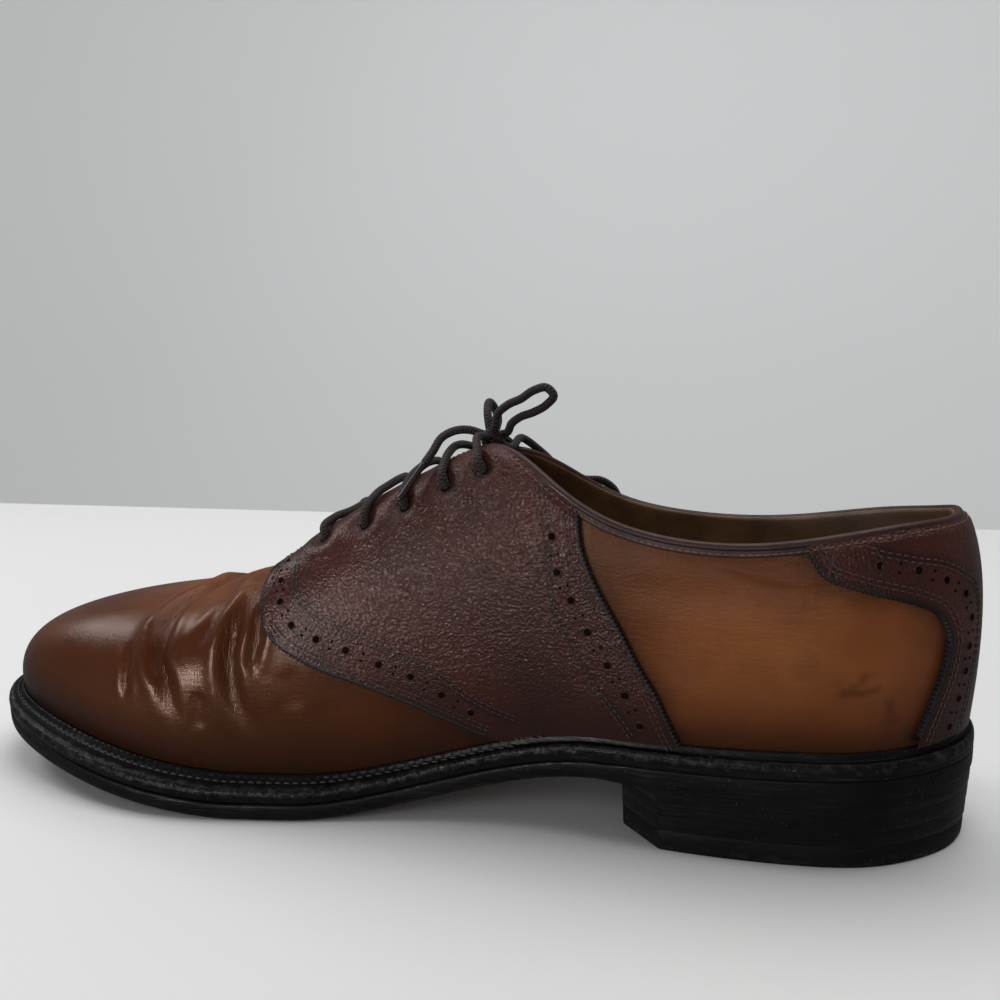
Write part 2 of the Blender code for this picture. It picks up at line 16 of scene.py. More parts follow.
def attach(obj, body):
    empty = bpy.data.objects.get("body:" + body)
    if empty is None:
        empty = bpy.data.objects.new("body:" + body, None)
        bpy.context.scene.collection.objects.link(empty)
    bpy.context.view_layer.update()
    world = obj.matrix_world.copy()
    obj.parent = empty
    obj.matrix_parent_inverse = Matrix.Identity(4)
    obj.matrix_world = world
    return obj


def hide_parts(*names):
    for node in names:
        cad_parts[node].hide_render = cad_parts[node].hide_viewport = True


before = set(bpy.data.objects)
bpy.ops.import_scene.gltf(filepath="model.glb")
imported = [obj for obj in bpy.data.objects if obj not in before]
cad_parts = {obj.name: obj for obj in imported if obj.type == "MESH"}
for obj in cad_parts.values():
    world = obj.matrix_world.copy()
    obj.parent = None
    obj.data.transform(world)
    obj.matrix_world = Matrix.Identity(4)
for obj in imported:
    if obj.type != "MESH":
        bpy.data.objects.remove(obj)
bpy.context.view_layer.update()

# The shoe's sizes and stations, the same as in the part's source
# Outsole
SHOE_LENGTH = 0.302
BALL_WIDTH = 0.103
HEEL_WIDTH = 0.068
OUTSOLE_THICKNESS = 0.0052
TOE_SPRING = 0.013
TREAD_FRONT = 0.675  # shares of the length, from the back of the heel
TREAD_BACK = 0.609

# Heel
SEAT_HEIGHT = 0.020
BREAST_HEIGHT = 0.018
BREAST = 0.302  # share of the length
TOP_LIFT = 0.006
CORNER_CUT = 0.010  # the cut inner front corner of the heel
HEEL_TAPER = 0.0009

# Welt
WELT_THICKNESS = 0.0048
WELT_MARGIN = 0.007  # from the edge to the upper, at the ball
WELT_RISE = 0.0015  # from the welt's edge up to the upper

# Upper
BACK_HEIGHT = 0.087
INSTEP_HEIGHT = 0.1044
LATERAL_DROP = 0.0055  # how much lower the lateral collar is
COLLAR_WIDTH = 0.058
THROAT_GAP = 0.011
FULLNESS = 0.007  # scale of the bulge of the walls
WALL = 0.002
OVERLAY = 0.0012  # leather of the saddle and the counter
TONGUE_THICKNESS = 0.0022
TONGUE_DROP = 0.0012  # from the upper's inner face down to the tongue

# Lace
LACE = 0.0024  # diameter
KNOT = 0.0030  # radius
AGLET_RADIUS = 0.00085
AGLET_LENGTH = 0.0135
BOW = 0.020  # reach of the rear loop from the knot

GAP = 0.0003

# Stations from the back of the heel to the toe tip. run and top_run are shares of the length from the
# back of the heel, medial and lateral are the outsole's half widths as shares of the width there,
# margin is a share of WELT_MARGIN. collar, gap, back, instep and drop place the top edge, as shares of
# COLLAR_WIDTH, THROAT_GAP, BACK_HEIGHT, INSTEP_HEIGHT and LATERAL_DROP. bulge and fill push the wall
# out near its foot and near its top, as shares of FULLNESS. rise, lead and crown are shares of the
# way from the feather line to the top edge and set how the wall bends over.
COLUMNS = (
    "run", "medial", "lateral", "margin", "top_run", "collar", "gap", "back", "instep", "drop",
    "bulge", "rise", "lead", "fill", "crown",
)
STATIONS = (
    (0.000, 0.000, 0.000, 0.45, 0.0222, 0.000, 0.00, 1.000, 0.000, 0.0, 0.36, 0.45, 0.00, 0.80, 0.80),
    (0.011, 0.184, 0.184, 0.45, 0.0258, 0.121, 0.00, 1.001, 0.000, 0.2, 0.36, 0.45, 0.00, 0.79, 0.80),
    (0.043, 0.338, 0.338, 0.45, 0.0414, 0.259, 0.00, 1.003, 0.000, 0.6, 0.34, 0.43, 0.00, 0.76, 0.78),
    (0.089, 0.450, 0.450, 0.45, 0.0778, 0.397, 0.00, 1.000, 0.000, 1.0, 0.30, 0.40, 0.00, 0.65, 0.75),
    (0.156, 0.500, 0.500, 0.45, 0.1424, 0.479, 0.00, 0.966, 0.000, 1.1, 0.28, 0.36, 0.00, 0.50, 0.70),
    (0.242, 0.500, 0.510, 0.45, 0.2219, 0.500, 0.00, 0.947, 0.000, 1.0, 0.28, 0.35, 0.00, 0.50, 0.70),
    (0.328, 0.459, 0.530, 0.45, 0.3013, 0.471, 0.00, 0.993, 0.000, 1.1, 0.30, 0.38, 0.10, 0.55, 0.72),
    (0.414, 0.402, 0.537, 0.50, 0.3609, 0.414, 0.00, 1.109, 0.000, 1.4, 0.35, 0.40, 0.25, 0.60, 0.78),
    (0.500, 0.367, 0.522, 0.65, 0.4172, 0.233, 0.00, 0.000, 1.000, 0.9, 0.40, 0.42, 0.35, 0.70, 0.88),
    (0.586, 0.381, 0.541, 0.90, 0.4801, 0.020, 0.45, 0.000, 0.925, 0.1, 0.45, 0.45, 0.40, 0.55, 0.92),
    (0.672, 0.421, 0.563, 1.00, 0.5497, 0.000, 0.45, 0.000, 0.815, 0.0, 0.45, 0.50, 0.40, 0.40, 0.92),
    (0.758, 0.435, 0.536, 1.05, 0.6026, 0.000, 0.40, 0.000, 0.704, 0.0, 0.45, 0.60, 0.40, 0.20, 0.84),
    (0.844, 0.388, 0.451, 1.05, 0.6275, 0.000, 0.30, 0.000, 0.649, 0.0, 0.48, 0.70, 0.38, 0.10, 0.75),
    (0.914, 0.308, 0.350, 0.92, 0.6348, 0.000, 0.20, 0.000, 0.632, 0.0, 0.50, 0.77, 0.36, 0.00, 0.68),
    (0.964, 0.214, 0.243, 0.78, 0.6375, 0.000, 0.12, 0.000, 0.627, 0.0, 0.50, 0.80, 0.34, 0.00, 0.65),
    (0.991, 0.112, 0.126, 0.70, 0.6385, 0.000, 0.06, 0.000, 0.624, 0.0, 0.50, 0.80, 0.33, 0.00, 0.64),
    (1.000, 0.000, 0.000, 0.68, 0.6390, 0.000, 0.00, 0.000, 0.623, 0.0, 0.50, 0.80, 0.33, 0.00, 0.64),
)
MIRRORED = ("medial", "lateral", "collar", "gap")  # zero on the centre line at heel and toe
HEEL_END = 0.33  # the width is the heel's up to here
BALL_START = 0.62  # and the ball's from here

# Stations of the tongue, the last in front of the throat: u and v of its edge on the medial side, and
# the u at which its middle lies, near the top edge of the upper.
TONGUE_RUNGS = (
    (0.435, 0.870, 0.470),
    (0.480, 0.800, 0.500),
    (0.530, 0.800, 0.545),
    (0.590, 0.800, 0.605),
    (0.650, 0.820, 0.665),
    (0.710, 0.860, 0.735),
    (0.760, 0.870, 1.000),
)


def ease(t):
    t = np.clip(t, 0.0, 1.0)
    return t * t * (3.0 - 2.0 * t)


def smooth_slopes(knots, values, mirrored):
    """Slopes of the smooth curve through the values, which goes on as its mirror image past both ends."""
    count = len(knots)
    steps = np.diff(knots)
    matrix = np.zeros((count, count))
    right = np.zeros(count)
    for i in range(1, count - 1):
        before, after = steps[i - 1], steps[i]
        matrix[i, i - 1] = 1 / before
        matrix[i, i] = 2 / before + 2 / after
        matrix[i, i + 1] = 1 / after
        right[i] = 3 * (values[i] - values[i - 1]) / before**2 + 3 * (values[i + 1] - values[i]) / after**2
    for end, near, step in ((0, 1, steps[0]), (count - 1, count - 2, -steps[-1])):
        matrix[end, end] = 2 if mirrored else 1
        if mirrored:
            matrix[end, near] = 1
            right[end] = 3 * (values[near] - values[end]) / step
    return np.linalg.solve(matrix, right)


def curve_at(knots, values, slopes, at):
    j = np.clip(np.searchsorted(knots, at, side="right") - 1, 0, len(knots) - 2)
    step = knots[j + 1] - knots[j]
    t = (at - knots[j]) / step
    return (
        (2 * t**3 - 3 * t**2 + 1) * values[j]
        + (t**3 - 2 * t**2 + t) * slopes[j] * step
        + (3 * t**2 - 2 * t**3) * values[j + 1]
        + (t**3 - t**2) * slopes[j + 1] * step
    )


def lengths_along(points):
    """The way along a line of points to each of them."""
    return np.concatenate([[0.0], np.cumsum(np.linalg.norm(np.diff(points, axis=0), axis=1))])


def width_at(run):
    return HEEL_WIDTH + (BALL_WIDTH - HEEL_WIDTH) * ease((run - HEEL_END) / (BALL_START - HEEL_END))


TABLE = {name: np.array([row[i] for row in STATIONS]) for i, name in enumerate(COLUMNS)}


def station_knots():
    """The share of the way round half the outsole at which each station lies."""
    across = 0.5 * (TABLE["medial"] + TABLE["lateral"]) * width_at(TABLE["run"])
    steps = np.hypot(np.diff(TABLE["run"] * SHOE_LENGTH), np.diff(across))
    knots = np.concatenate([[0.0], np.cumsum(steps)])
    return knots / knots[-1]


KNOTS = station_knots()
SLOPES = {name: smooth_slopes(KNOTS, TABLE[name], name in MIRRORED) for name in COLUMNS}


def column(name, half):
    return curve_at(KNOTS, TABLE[name], SLOPES[name], half)


def half_of(u):
    u = np.asarray(u, float) % 2.0
    return np.where(u <= 1.0, u, 2.0 - u), np.where(u <= 1.0, -1.0, 1.0)


def sole_edge(u):
    """Plan points of the outsole's edge, about the last's own centre line."""
    half, side = half_of(u)
    run = column("run", half)
    across = np.where(side < 0, column("medial", half), column("lateral", half)) * width_at(run)
    return np.stack([SHOE_LENGTH * (0.5 - run), side * across], -1)


# The last's centre line lies a little to the medial side, so that the outsole is centred on y = 0.
ACROSS = sole_edge(np.linspace(0, 2, 4001))[:, 1]
SIDE_SHIFT = 0.5 * float(ACROSS.max() + ACROSS.min())


def edge_out(u):
    """Unit vectors in plan, out of the outsole's edge."""
    along = sole_edge(u + 1e-3) - sole_edge(u - 1e-3)
    out = np.stack([-along[..., 1], along[..., 0]], -1)
    return out / np.linalg.norm(out, axis=-1, keepdims=True)


def outline(u, inset=0.0):
    return sole_edge(u) - edge_out(u) * inset - (0.0, SIDE_SHIFT)


def feather(u, inset=0.0):
    """Plan points of the line where the upper meets the welt."""
    u = np.asarray(u, float)
    margin = column("margin", half_of(u)[0]) * WELT_MARGIN
    return outline(u) - edge_out(u) * (margin + inset)[..., None]


def sole_bottom(x):
    """Height of the outsole's underside."""
    run = 0.5 - x / SHOE_LENGTH
    seat = SEAT_HEIGHT + (BREAST_HEIGHT - SEAT_HEIGHT) * np.clip(run / BREAST, 0, 1)
    shank = ease((TREAD_BACK - run) / (TREAD_BACK - BREAST))
    toe = np.clip((run - TREAD_FRONT) / (1 - TREAD_FRONT), 0, None) ** 1.2
    return seat * shank + TOE_SPRING * toe


def welt_top(x):
    return sole_bottom(x) + OUTSOLE_THICKNESS + WELT_THICKNESS


def feather_height(x):
    return welt_top(x) + WELT_RISE


def skin(u, v):
    """Points on the outer face of the upper."""
    u, v = np.broadcast_arrays(np.asarray(u, float), np.asarray(v, float))
    half, side = half_of(u)
    out = edge_out(u) * FULLNESS
    foot = feather(u)
    foot_z = feather_height(foot[..., 0])
    top_x = SHOE_LENGTH * (0.5 - column("top_run", half))
    top_y = side * (column("collar", half) * COLLAR_WIDTH + column("gap", half) * THROAT_GAP) - SIDE_SHIFT
    top = np.stack([top_x, top_y], -1)
    drop = np.where(side > 0, column("drop", half), 0.0) * LATERAL_DROP
    top_z = column("back", half) * BACK_HEIGHT + column("instep", half) * INSTEP_HEIGHT - drop
    low = foot + out * column("bulge", half)[..., None]
    high = top + (foot - top) * column("lead", half)[..., None] + out * column("fill", half)[..., None]
    low_z = foot_z + column("rise", half) * (top_z - foot_z)
    high_z = foot_z + column("crown", half) * (top_z - foot_z)
    w = (1 - v) ** 3, 3 * v * (1 - v) ** 2, 3 * v * v * (1 - v), v**3
    plan = w[0][..., None] * foot + w[1][..., None] * low + w[2][..., None] * high + w[3][..., None] * top
    z = w[0] * foot_z + w[1] * low_z + w[2] * high_z + w[3] * top_z
    return np.concatenate([plan, z[..., None]], -1)


def normals(u, v):
    """Unit normals out of the upper."""
    step = 1e-3
    around = skin(u + step, v) - skin(u - step, v)
    upward = skin(u, np.minimum(v + step, 1.0)) - skin(u, np.maximum(v - step, 0.0))
    out = np.cross(upward, around)
    return out / np.linalg.norm(out, axis=-1, keepdims=True)


def lifted(u, v, height):
    """Points at a height above the upper's outer face, or below it where the height is negative."""
    return skin(u, v) + normals(u, v) * height


# Camera: the photo's angle, solved from the shoe's outline. Metres and degrees.
CAMERA_AT = (0.09858, -0.27334 - SIDE_SHIFT, 0.14616)
CAMERA_YAW = -15.73
CAMERA_PITCH = 11.84
CAMERA_ROLL = -1.85
FOCAL = 1.0009  # in picture widths

# Edges of the panels on the medial side, as (u, v); the lateral side mirrors them.
SADDLE_ROWS = (  # with the u on the top edge that each is joined to
    (0.267, 0.000, 0.379),
    (0.345, 0.000, 0.470),
    (0.405, 0.000, 0.555),
    (0.423, 0.037, 0.580),
    (0.450, 0.095, 0.597),
    (0.486, 0.160, 0.612),
    (0.535, 0.233, 0.636),
    (0.587, 0.305, 0.662),
    (0.625, 0.380, 0.683),
    (0.654, 0.492, 0.702),
    (0.681, 0.662, 0.714),
    (0.690, 0.740, 0.724),
    (0.735, 0.820, 0.790),
    (0.820, 0.885, 0.880),
    (1.000, 0.920, 1.000),
)
COUNTER_ROWS = (
    (0.190, 0.958, 0.192),
    (0.182, 0.865, 0.184),
    (0.172, 0.802, 0.173),
    (0.141, 0.700, 0.143),
    (0.106, 0.605, 0.109),
    (0.088, 0.540, 0.090),
    (0.074, 0.420, 0.071),
    (0.074, 0.300, 0.045),
    (0.080, 0.182, 0.018),
    (0.089, 0.043, 0.004),
    (0.091, 0.000, 0.000),
    (0.000, 0.000, 0.000),
)
SADDLE_FRONT = tuple(row[:2] for row in SADDLE_ROWS[3:])
SADDLE_REAR = (
    (0.268, 0.013), (0.278, 0.138), (0.287, 0.240), (0.301, 0.352), (0.320, 0.508), (0.337, 0.623),
    (0.354, 0.730), (0.368, 0.833), (0.378, 0.970),
)
COUNTER_FRONT = tuple(row[:2] for row in COUNTER_ROWS[:10])
FRONT_INNER = (
    (0.399, 0.083), (0.411, 0.107), (0.436, 0.163), (0.466, 0.235), (0.491, 0.275), (0.518, 0.318),
    (0.544, 0.355), (0.573, 0.400), (0.597, 0.443), (0.617, 0.492), (0.632, 0.552), (0.648, 0.640),
    (0.663, 0.720), (0.690, 0.800),
)
REAR_INNER = (
    (0.303, 0.043), (0.313, 0.120), (0.326, 0.203), (0.339, 0.280), (0.355, 0.403), (0.372, 0.487),
    (0.386, 0.640), (0.402, 0.820), (0.418, 0.960),
)
COUNTER_INNER = (
    (0.146, 0.925), (0.138, 0.895), (0.115, 0.838), (0.090, 0.790), (0.064, 0.708), (0.044, 0.623),
    (0.034, 0.480), (0.034, 0.330), (0.038, 0.180), (0.044, 0.040),
)
FRONT_HOLES = (
    (0.434, 0.120), (0.460, 0.180), (0.489, 0.235), (0.519, 0.275), (0.552, 0.325), (0.583, 0.367),
    (0.612, 0.417), (0.636, 0.503), (0.652, 0.590), (0.668, 0.690),
)
REAR_HOLES = (
    (0.297, 0.088), (0.310, 0.225), (0.326, 0.350), (0.346, 0.478), (0.365, 0.593), (0.383, 0.682),
    (0.396, 0.807),
)
COUNTER_HOLES = (
    (0.142, 0.835), (0.114, 0.777), (0.088, 0.700), (0.063, 0.605), (0.051, 0.480), (0.050, 0.357),
    (0.051, 0.258), (0.055, 0.155), (0.061, 0.055),
)

# Creases of wear: depth and half width in metres, then the line's (u, v). A ridge has a negative depth.
CREASES = (
    (0.0019, 0.0027, ((0.687, 0.105), (0.697, 0.158), (0.709, 0.205), (0.722, 0.265), (0.744, 0.335),
                      (0.758, 0.405), (0.782, 0.487), (0.835, 0.613), (0.920, 0.725), (1.000, 0.760),
                      (1.080, 0.740), (1.170, 0.640), (1.225, 0.500), (1.250, 0.350), (1.270, 0.220))),
    (-0.0013, 0.0034, ((0.766, 0.323), (0.799, 0.438), (0.830, 0.542), (0.890, 0.650), (1.000, 0.720),
                       (1.100, 0.680), (1.180, 0.540))),
    (0.0014, 0.0025, ((0.689, 0.310), (0.701, 0.352), (0.708, 0.405), (0.709, 0.455), (0.715, 0.530),
                      (0.738, 0.640), (0.800, 0.740), (0.900, 0.800), (1.000, 0.818), (1.100, 0.805),
                      (1.200, 0.740), (1.270, 0.600), (1.290, 0.440))),
    (-0.0012, 0.0031, ((0.690, 0.370), (0.698, 0.415), (0.705, 0.478), (0.711, 0.565), (0.722, 0.660),
                       (0.780, 0.780), (0.880, 0.840), (1.000, 0.856), (1.120, 0.842), (1.220, 0.780))),
    (0.0019, 0.0026, ((0.618, 0.077), (0.626, 0.128), (0.639, 0.185), (0.648, 0.233), (0.657, 0.292),
                      (0.665, 0.355), (0.673, 0.425), (0.684, 0.532), (0.698, 0.640), (0.740, 0.760),
                      (0.840, 0.850), (1.000, 0.880), (1.160, 0.860), (1.270, 0.740), (1.310, 0.600),
                      (1.330, 0.420), (1.350, 0.260))),
    (0.0011, 0.0020, ((0.636, 0.270), (0.642, 0.348), (0.646, 0.405), (0.657, 0.478), (0.671, 0.568),
                      (0.684, 0.660))),
    (0.0007, 0.0015, ((0.754, 0.165), (0.762, 0.215), (0.772, 0.273), (0.786, 0.338), (0.806, 0.390))),
    (0.0004, 0.0030, ((0.606, 0.292), (0.594, 0.230), (0.588, 0.170))),
    (0.0004, 0.0025, ((0.672, 0.110), (0.676, 0.180), (0.684, 0.240))),
    (0.0009, 0.0055, ((0.540, 0.640), (0.518, 0.720), (0.495, 0.690), (0.470, 0.630))),
    (0.0007, 0.0045, ((0.476, 0.780), (0.455, 0.730), (0.430, 0.700))),
    (-0.0006, 0.0050, ((0.500, 0.830), (0.480, 0.790), (0.455, 0.790))),
    (0.0006, 0.0040, ((1.345, 0.620), (1.380, 0.560), (1.430, 0.540))),
    (0.0004, 0.0035, ((0.330, 0.760), (0.290, 0.740), (0.240, 0.760), (0.200, 0.740))),
    (0.0004, 0.0012, ((0.271, 0.927), (0.248, 0.865), (0.209, 0.790), (0.160, 0.762), (0.126, 0.758))),
    (0.0003, 0.0011, ((0.262, 0.860), (0.228, 0.775), (0.185, 0.722), (0.130, 0.705))),
    (0.0003, 0.0011, ((0.250, 0.780), (0.205, 0.700), (0.160, 0.655), (0.107, 0.625))),
)
FULL_FLEX = 0.0013  # depth at which the leather wrinkles most
FINE_CREASE = 0.003  # only narrower creases wrinkle
CREASE_ENDS = 0.22  # share of a crease's length over which it dies away at each end
LIP = 0.3  # height of the fold beside a crease, as a share of its depth
SHALLOW_FROM = 0.050  # height over the floor from which creases get shallower
SCUFFS = (  # dark marks in the polish
    ((0.154, 0.258), (0.147, 0.280), (0.142, 0.305), (0.137, 0.335)),
    ((0.149, 0.262), (0.138, 0.258), (0.127, 0.268)),
    ((0.118, 0.200), (0.114, 0.160), (0.112, 0.120)),
    ((0.872, 0.302), (0.878, 0.296), (0.884, 0.292)),
)

PINK_PITCH = 0.00125  # teeth of the pinked edges
PINK_DEPTH = 0.00065
OVERLAY_LIFT = 0.0005  # from the upper to the overlays
STITCH = 0.0019  # pitch of the uppers' seams
STITCH_LENGTH = 0.8 * STITCH
THREAD = 0.00019  # radius
SEAM_INSET = 0.0021  # from a pinked edge to its first row of stitches
SEAM_GAP = 0.0012  # between the two rows of a double seam
WELT_STITCH = 0.0027
WELT_THREAD = 0.00034
NOTCH = 0.00042  # depth of the welt's wheeled notches
WELT_SHELF = 0.735  # height of the stitched shelf, as a share of the ridge's
PUNCH = 0.00095  # radius of the big holes
PINHOLE = 0.00038
PINHOLE_SPREAD = 0.0011  # of a pair, from its middle
BEAD = 0.0012  # radius of the collar's bead
TOPLINE = 0.966  # v of its stitches
BAND = (0.188, 0.383)  # u of the collar's band, between the counter and the saddle
BAND_ROWS = (  # v and height
    (0.951, -0.0002), (0.951, 0.0003), (0.953, 0.0006), (0.960, 0.0007), (0.972, 0.0007), (0.985, 0.0007),
)
OVER_BAND = 0.0009  # height of the stitches on the band
SKIVED_FROM = 0.93  # v from which the panels are thinned towards the top edge
EYELET_DEPTH = 0.0009
PUCKER = (0.0011, 0.0021)  # depth and half width of the dip round an eyelet
PUCKER_RIM = (0.0005, 0.0052, 0.0024)  # height, radius and half width of the swelling round the dip
SEAM_SHADE = 0.006  # reach of the painted shade beside the panels' raised edges
SCUFF_REACH = 0.0019
STITCH_SHADE_REACH = 0.0022  # of the darkening beside a row of stitches: painted shade of the stitch groove, and grime
TONGUE_MIDDLE = 0.97  # v of the tongue's middle line
WELT_SEAM = 0.40  # place of the welt's stitches, as a share of its margin
WELT_SEAM_FROM = 0.40  # share of the way from heel to toe at which they start
HEEL_LIFTS = (0.34, 0.67)  # heights of the joints in the stack
STACK_GAP = 0.0001  # from the stack to the sole above it and the tip below it
TIP_GROOVE = 0.0008  # height of the fine groove near the tip's foot
HEEL_SCUFF = 0.0016  # height up to which the tip is scuffed

# Steps of the meshes, round and up
UPPER_STEPS = (560, 88)
SADDLE_STEPS = (230, 100)
COUNTER_STEPS = (160, 72)
WELT_STEPS = 1560
SOLE_STEPS = 640
LINING_STEPS = 26
HEEL_STEPS = 120  # on each side of the heel
LACE_STEP = 0.0006

EYELETS = (  # (u, v), and the u at which the lace crosses the edge of the facing
    (0.645, 0.758, 0.676),
    (0.597, 0.733, 0.622),
    (0.558, 0.750, 0.587),
    (0.519, 0.790, 0.548),
    (0.485, 0.863, 0.512),
)

KNOT_RUN = 0.4354  # share of the length
KNOT_OVER_INSTEP = 0.0006
WRAP = 0.0021  # reach of the knot's two wraps from its middle
HELD = 0.0024  # and of the strand that they hold
MEDIAL_STRAND = (-0.15, -0.97, 0.18)
LATERAL_STRAND = (-0.30, 0.85, -0.43)
UPRIGHT_LOOP = (
    (-0.20, 0.25, 0.95), (-0.07, 0.11, 0.32), (-0.11, 0.27, 0.42), (-0.135, 0.46, 0.45), (-0.12, 0.62, 0.37),
    (-0.07, 0.63, 0.24), (-0.02, 0.49, 0.18), (0.01, 0.32, 0.135), (0.10, 0.90, 0.43),
)
REAR_LOOP = (
    (0.42, -0.42, 0.80), (0.14, -0.115, 0.34), (0.30, -0.12, 0.48), (0.485, -0.12, 0.56), (0.68, -0.14, 0.68),
    (0.87, -0.16, 0.72), (0.97, -0.17, 0.61), (0.87, -0.15, 0.49), (0.655, -0.11, 0.37), (0.46, -0.05, 0.30),
    (0.31, 0.00, 0.195), (0.95, 0.15, 0.25),
)
MEDIAL_END = (
    (-0.80, -0.45, 0.40), (-0.28, -0.18, 0.13), (-0.45, -0.32, 0.13), (-0.595, -0.45, 0.05),
    (-0.685, -0.575, -0.12), (-0.77, -0.70, -0.265),
)
# The lateral end leaves the knot in one direction, and then lies along the collar: rows of u, v and the
# height over the upper as a share of LACE.
LATERAL_LEAVE = (0.75, 0.35, -0.56)
LATERAL_END = (
    (1.510, 1.00, 1.5), (1.535, 0.94, 1.5), (1.560, 0.90, 1.6), (1.585, 0.93, 1.8), (1.605, 0.98, 2.1),
    (1.620, 0.96, 2.4), (1.632, 0.88, 2.3),
)


def polyline(rows, step):
    """(u, v) at even steps in space along the smooth curve through the rows."""
    rows = np.array(rows, float)
    knots = np.arange(len(rows), dtype=float)
    at = np.linspace(0, knots[-1], 60 * len(rows))
    u, v = (curve_at(knots, rows[:, i], np.gradient(rows[:, i]), at) for i in range(2))
    way = skin(u, v)
    length = lengths_along(way)
    even = np.linspace(0, length[-1], max(2, round(length[-1] / step)) + 1)
    return np.stack([np.interp(even, length, u), np.interp(even, length, v)], -1)


def mirrored(uv):
    return np.stack([2.0 - uv[:, 0], uv[:, 1]], -1)


CREASE_LINES = [(depth, width, skin(*polyline(rows, 0.0012).T)) for depth, width, rows in CREASES]


def away_from(line, points, reach):
    """Which of the points lie in the line's box, widened by the reach, and their distances to its points."""
    inside = ((points > line.min(0) - reach) & (points < line.max(0) + reach)).all(1)
    return inside, np.linalg.norm(points[inside, None] - line[None], axis=2)


def wear(points):
    """Height that the creases add at points of the upper, and how near each point is to a crease (0 to 1),
    which also paints shade into the tan leather's crease troughs.
    """
    flat = points.reshape(-1, 3)
    height = np.zeros(len(flat))
    near = np.zeros(len(flat))
    for depth, width, line in CREASE_LINES:
        inside, apart = away_from(line, flat, 4 * width)
        if not inside.any():
            continue
        away = apart.min(1)
        along = apart.argmin(1) / (len(line) - 1)
        taper = ease(np.minimum(along, 1 - along) / CREASE_ENDS)
        dip = -np.exp(-((away / width) ** 2))
        lip = LIP * np.exp(-(((away - 2 * width) / (0.9 * width)) ** 2)) if depth > 0 else 0.0
        crown = 1.0 - 0.5 * ease((flat[inside, 2] - SHALLOW_FROM) / 0.012)
        height[inside] += taper * crown * depth * (dip + lip)
        if depth > 0 and width < FINE_CREASE:
            flex = taper * depth / FULL_FLEX * np.exp(-((away / (1.2 * width)) ** 2))
            near[inside] = np.maximum(near[inside], flex)
    return height.reshape(points.shape[:-1]), near.reshape(points.shape[:-1])


def dressed(u, v, height):
    """Points at a height above the worn upper."""
    base = skin(u, v)
    return base + normals(u, v) * (height + wear(base)[0])[..., None]


# Materials


class Nodes:
    """A material under construction; its methods add nodes and return their outputs."""

    def __init__(self, name):
        self.made = bpy.data.materials.new(name)
        self.made.use_nodes = True
        self.tree = self.made.node_tree
        self.shader = self.tree.nodes["Principled BSDF"]
        self.where = self.tree.nodes.new("ShaderNodeTexCoord").outputs["Object"]

    def feed(self, socket, value):
        """Links a socket to a value that is another's output, or sets it."""
        if isinstance(value, bpy.types.NodeSocket):
            self.tree.links.new(value, socket)
        elif isinstance(value, tuple) and len(value) < len(socket.default_value):
            socket.default_value = (*value, 1.0)
        elif value is not None:
            socket.default_value = value

    def add(self, kind, **settings):
        node = self.tree.nodes.new(kind)
        for key, value in settings.items():
            if key in node.inputs:
                self.feed(node.inputs[key], value)
            else:
                setattr(node, key, value)
        return node

    def stretched(self, scale):
        return self.add("ShaderNodeMapping", Vector=self.where, Scale=scale).outputs[0]

    def noise(self, scale, detail=4.0, where=None, distortion=0.0):
        where = self.where if where is None else where
        settings = {"Vector": where, "Scale": scale, "Detail": detail, "Distortion": distortion}
        return self.add("ShaderNodeTexNoise", **settings).outputs[0]

    def cells(self, scale, feature="F1"):
        node = self.add("ShaderNodeTexVoronoi", Vector=self.where, Scale=scale, feature=feature)
        return node.outputs["Distance"]

    def maths(self, operation, first, second=0.5):
        node = self.add("ShaderNodeMath", operation=operation)
        self.feed(node.inputs[0], first)
        self.feed(node.inputs[1], second)
        return node.outputs[0]

    def span(self, value, low, high, to_low=0.0, to_high=1.0):
        node = self.add("ShaderNodeMapRange")
        for socket, number in zip(node.inputs, (value, low, high, to_low, to_high)):
            self.feed(socket, number)
        return node.outputs[0]

    def blend(self, share, first, second):
        node = self.add("ShaderNodeMix", data_type="RGBA")
        for index, value in ((0, share), (6, first), (7, second)):
            self.feed(node.inputs[index], value)
        return node.outputs[2]

    def painted(self):
        """The red, green and blue of the mesh's colour attribute, which carries wear and painted light and
        shade.
        """
        colour = self.add("ShaderNodeVertexColor", layer_name="wear").outputs[0]
        return self.add("ShaderNodeSeparateColor", Color=colour).outputs

    def bump(self, height, distance, under=None, strength=1.0):
        node = self.add("ShaderNodeBump", Height=height, Distance=distance, Strength=strength)
        self.feed(node.inputs["Normal"], under)
        return node.outputs[0]

    def done(self, colour, roughness, normal=None, **constants):
        for key, value in (("Base Color", colour), ("Roughness", roughness), ("Normal", normal)):
            self.feed(self.shader.inputs[key], value)
        if "Coat_Weight" in constants:
            self.tree.links.new(normal, self.shader.inputs["Coat Normal"])
        for key, value in constants.items():
            self.shader.inputs[key.replace("_", " ")].default_value = value
        return self.made


